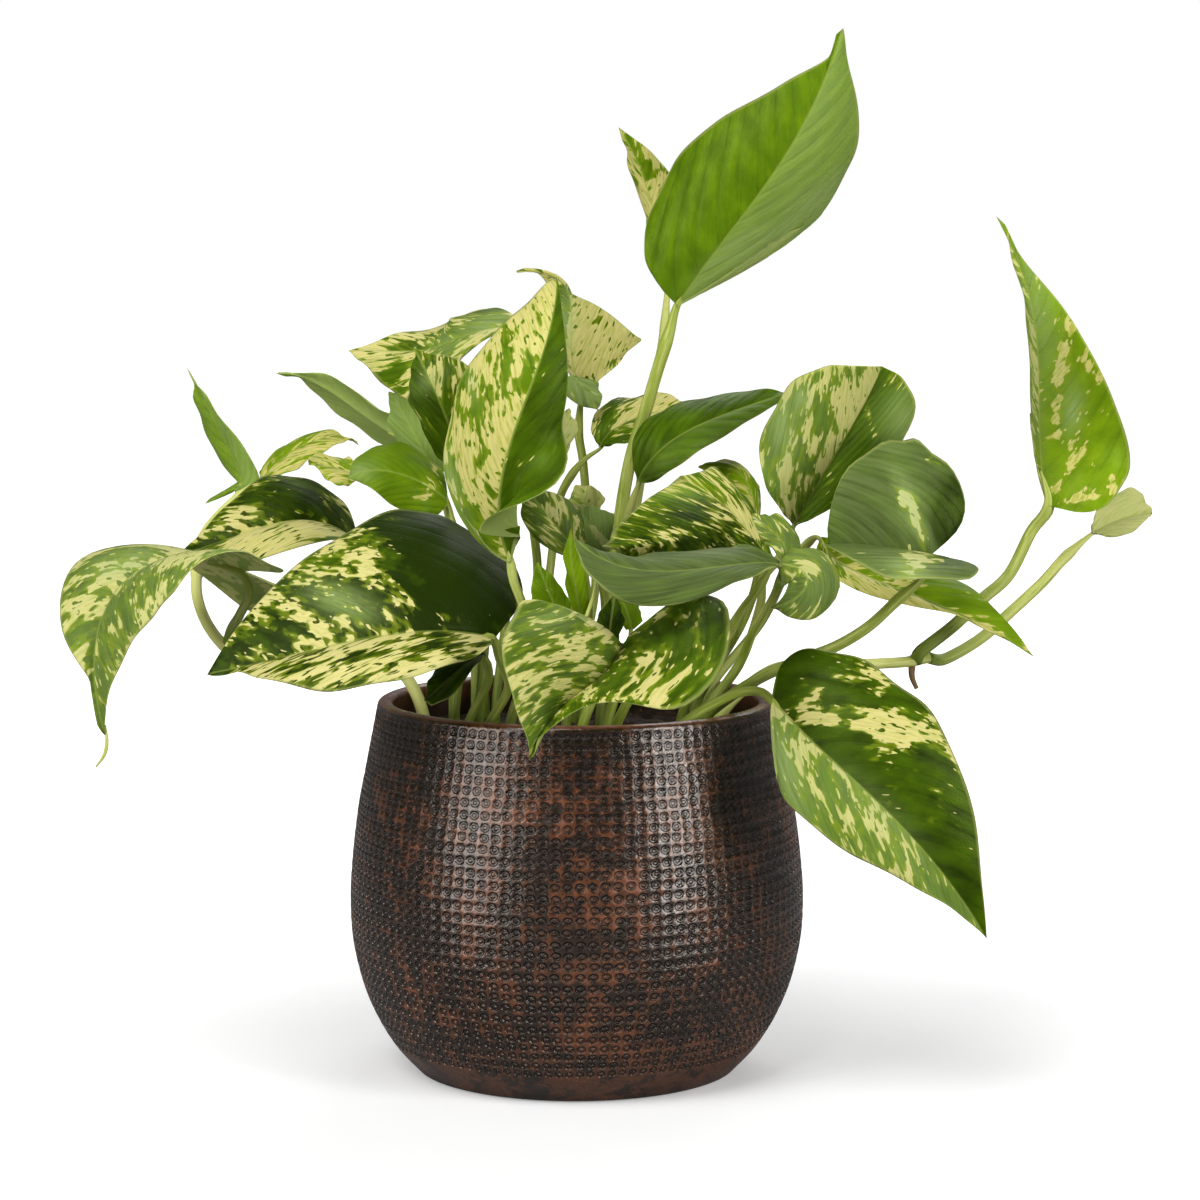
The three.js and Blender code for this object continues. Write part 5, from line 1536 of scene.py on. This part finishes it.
def camera():
    """The photograph's view: a long lens at eye height, looking a little down."""
    data = bpy.data.cameras.new("camera")
    data.sensor_width = SENSOR
    data.lens = SENSOR * EYE_DISTANCE / FRAME_WIDTH
    data.clip_end = 50.0
    made = bpy.data.objects.new("camera", data)
    made.location = EYE * MM
    made.rotation_euler = (math.radians(90) - EYE_PITCH, 0.0, 0.0)
    bpy.context.scene.collection.objects.link(made)
    bpy.context.scene.camera = made


# Softboxes about LIT_CENTRE, in metres: azimuth and elevation in degrees, distance, size and power in watts.
# Azimuth 0 is in front and 90 on the right.
LIT_CENTRE = np.array([0.0, 0.0, 0.2])
SOFTBOXES = {
    "key_light": (-28, 52, 2.2, (1.1, 1.1), 28),
    "right_strip": (53, 14, 1.7, (0.42, 1.5), 22),
    "left_strip": (-52, 14, 1.7, (0.75, 1.5), 18),
    "back_light": (160, 40, 2.2, (1.4, 1.0), 11),
}


def softbox(name, azimuth, elevation, distance, size, power):
    """A rectangular light on a sphere round the plant, facing its centre."""
    turn, rise = math.radians(azimuth), math.radians(elevation)
    data = bpy.data.lights.new(name, "AREA")
    data.shape = "RECTANGLE"
    data.size, data.size_y = size
    data.energy = power
    made = bpy.data.objects.new(name, data)
    away = np.array([math.sin(turn) * math.cos(rise), -math.cos(turn) * math.cos(rise), math.sin(rise)])
    made.location = LIT_CENTRE + away * distance
    made.rotation_euler = (math.radians(90) - rise, 0.0, turn)
    bpy.context.scene.collection.objects.link(made)


def studio():
    """A surround that is white to the camera and lights the plant weakly, and the softboxes."""
    world = bpy.data.worlds.new("studio")
    bpy.context.scene.world = world
    world.use_nodes = True
    nodes = Nodes(world.node_tree)
    shown = nodes.add("LightPath", {}).outputs["Is Camera Ray"]
    strength = nodes.step(shown, 0.0, 1.0, 0.15, 1.0)
    back = world.node_tree.nodes["Background"]
    back.inputs["Color"].default_value = (1.0, 1.0, 1.0, 1.0)
    world.node_tree.links.new(strength, back.inputs["Strength"])
    for name, values in SOFTBOXES.items():
        softbox(name, *values)
    bpy.context.scene.view_settings.view_transform = "Standard"


FLOOR_REACH = 9000.0
FLOOR_DROP = 0.5


def floor_piece():
    """A wide pale floor under the pot."""
    line = np.linspace(-FLOOR_REACH, FLOOR_REACH, 3)
    x, y = np.meshgrid(line, line)
    shape = Shape()
    shape.add(np.stack([x, y, 0 * x - FLOOR_DROP], axis=-1).reshape(-1, 3), grid_triangles(3, 3))
    return shape.piece("floor", [floor_material])


camera()
studio()
floor_piece()

pieces = {"pot": pot_piece(), "soil": soil_piece()}
for vine in VINES:
    pieces[vine["name"]] = vine_piece(vine)
for seed, leaf in enumerate(LEAVES):
    pieces[leaf["name"]] = leaf_piece(leaf, LOOKS.get(leaf["name"], {}), seed + 1)

for node, piece in pieces.items():
    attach(piece, "root")
    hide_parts(node)
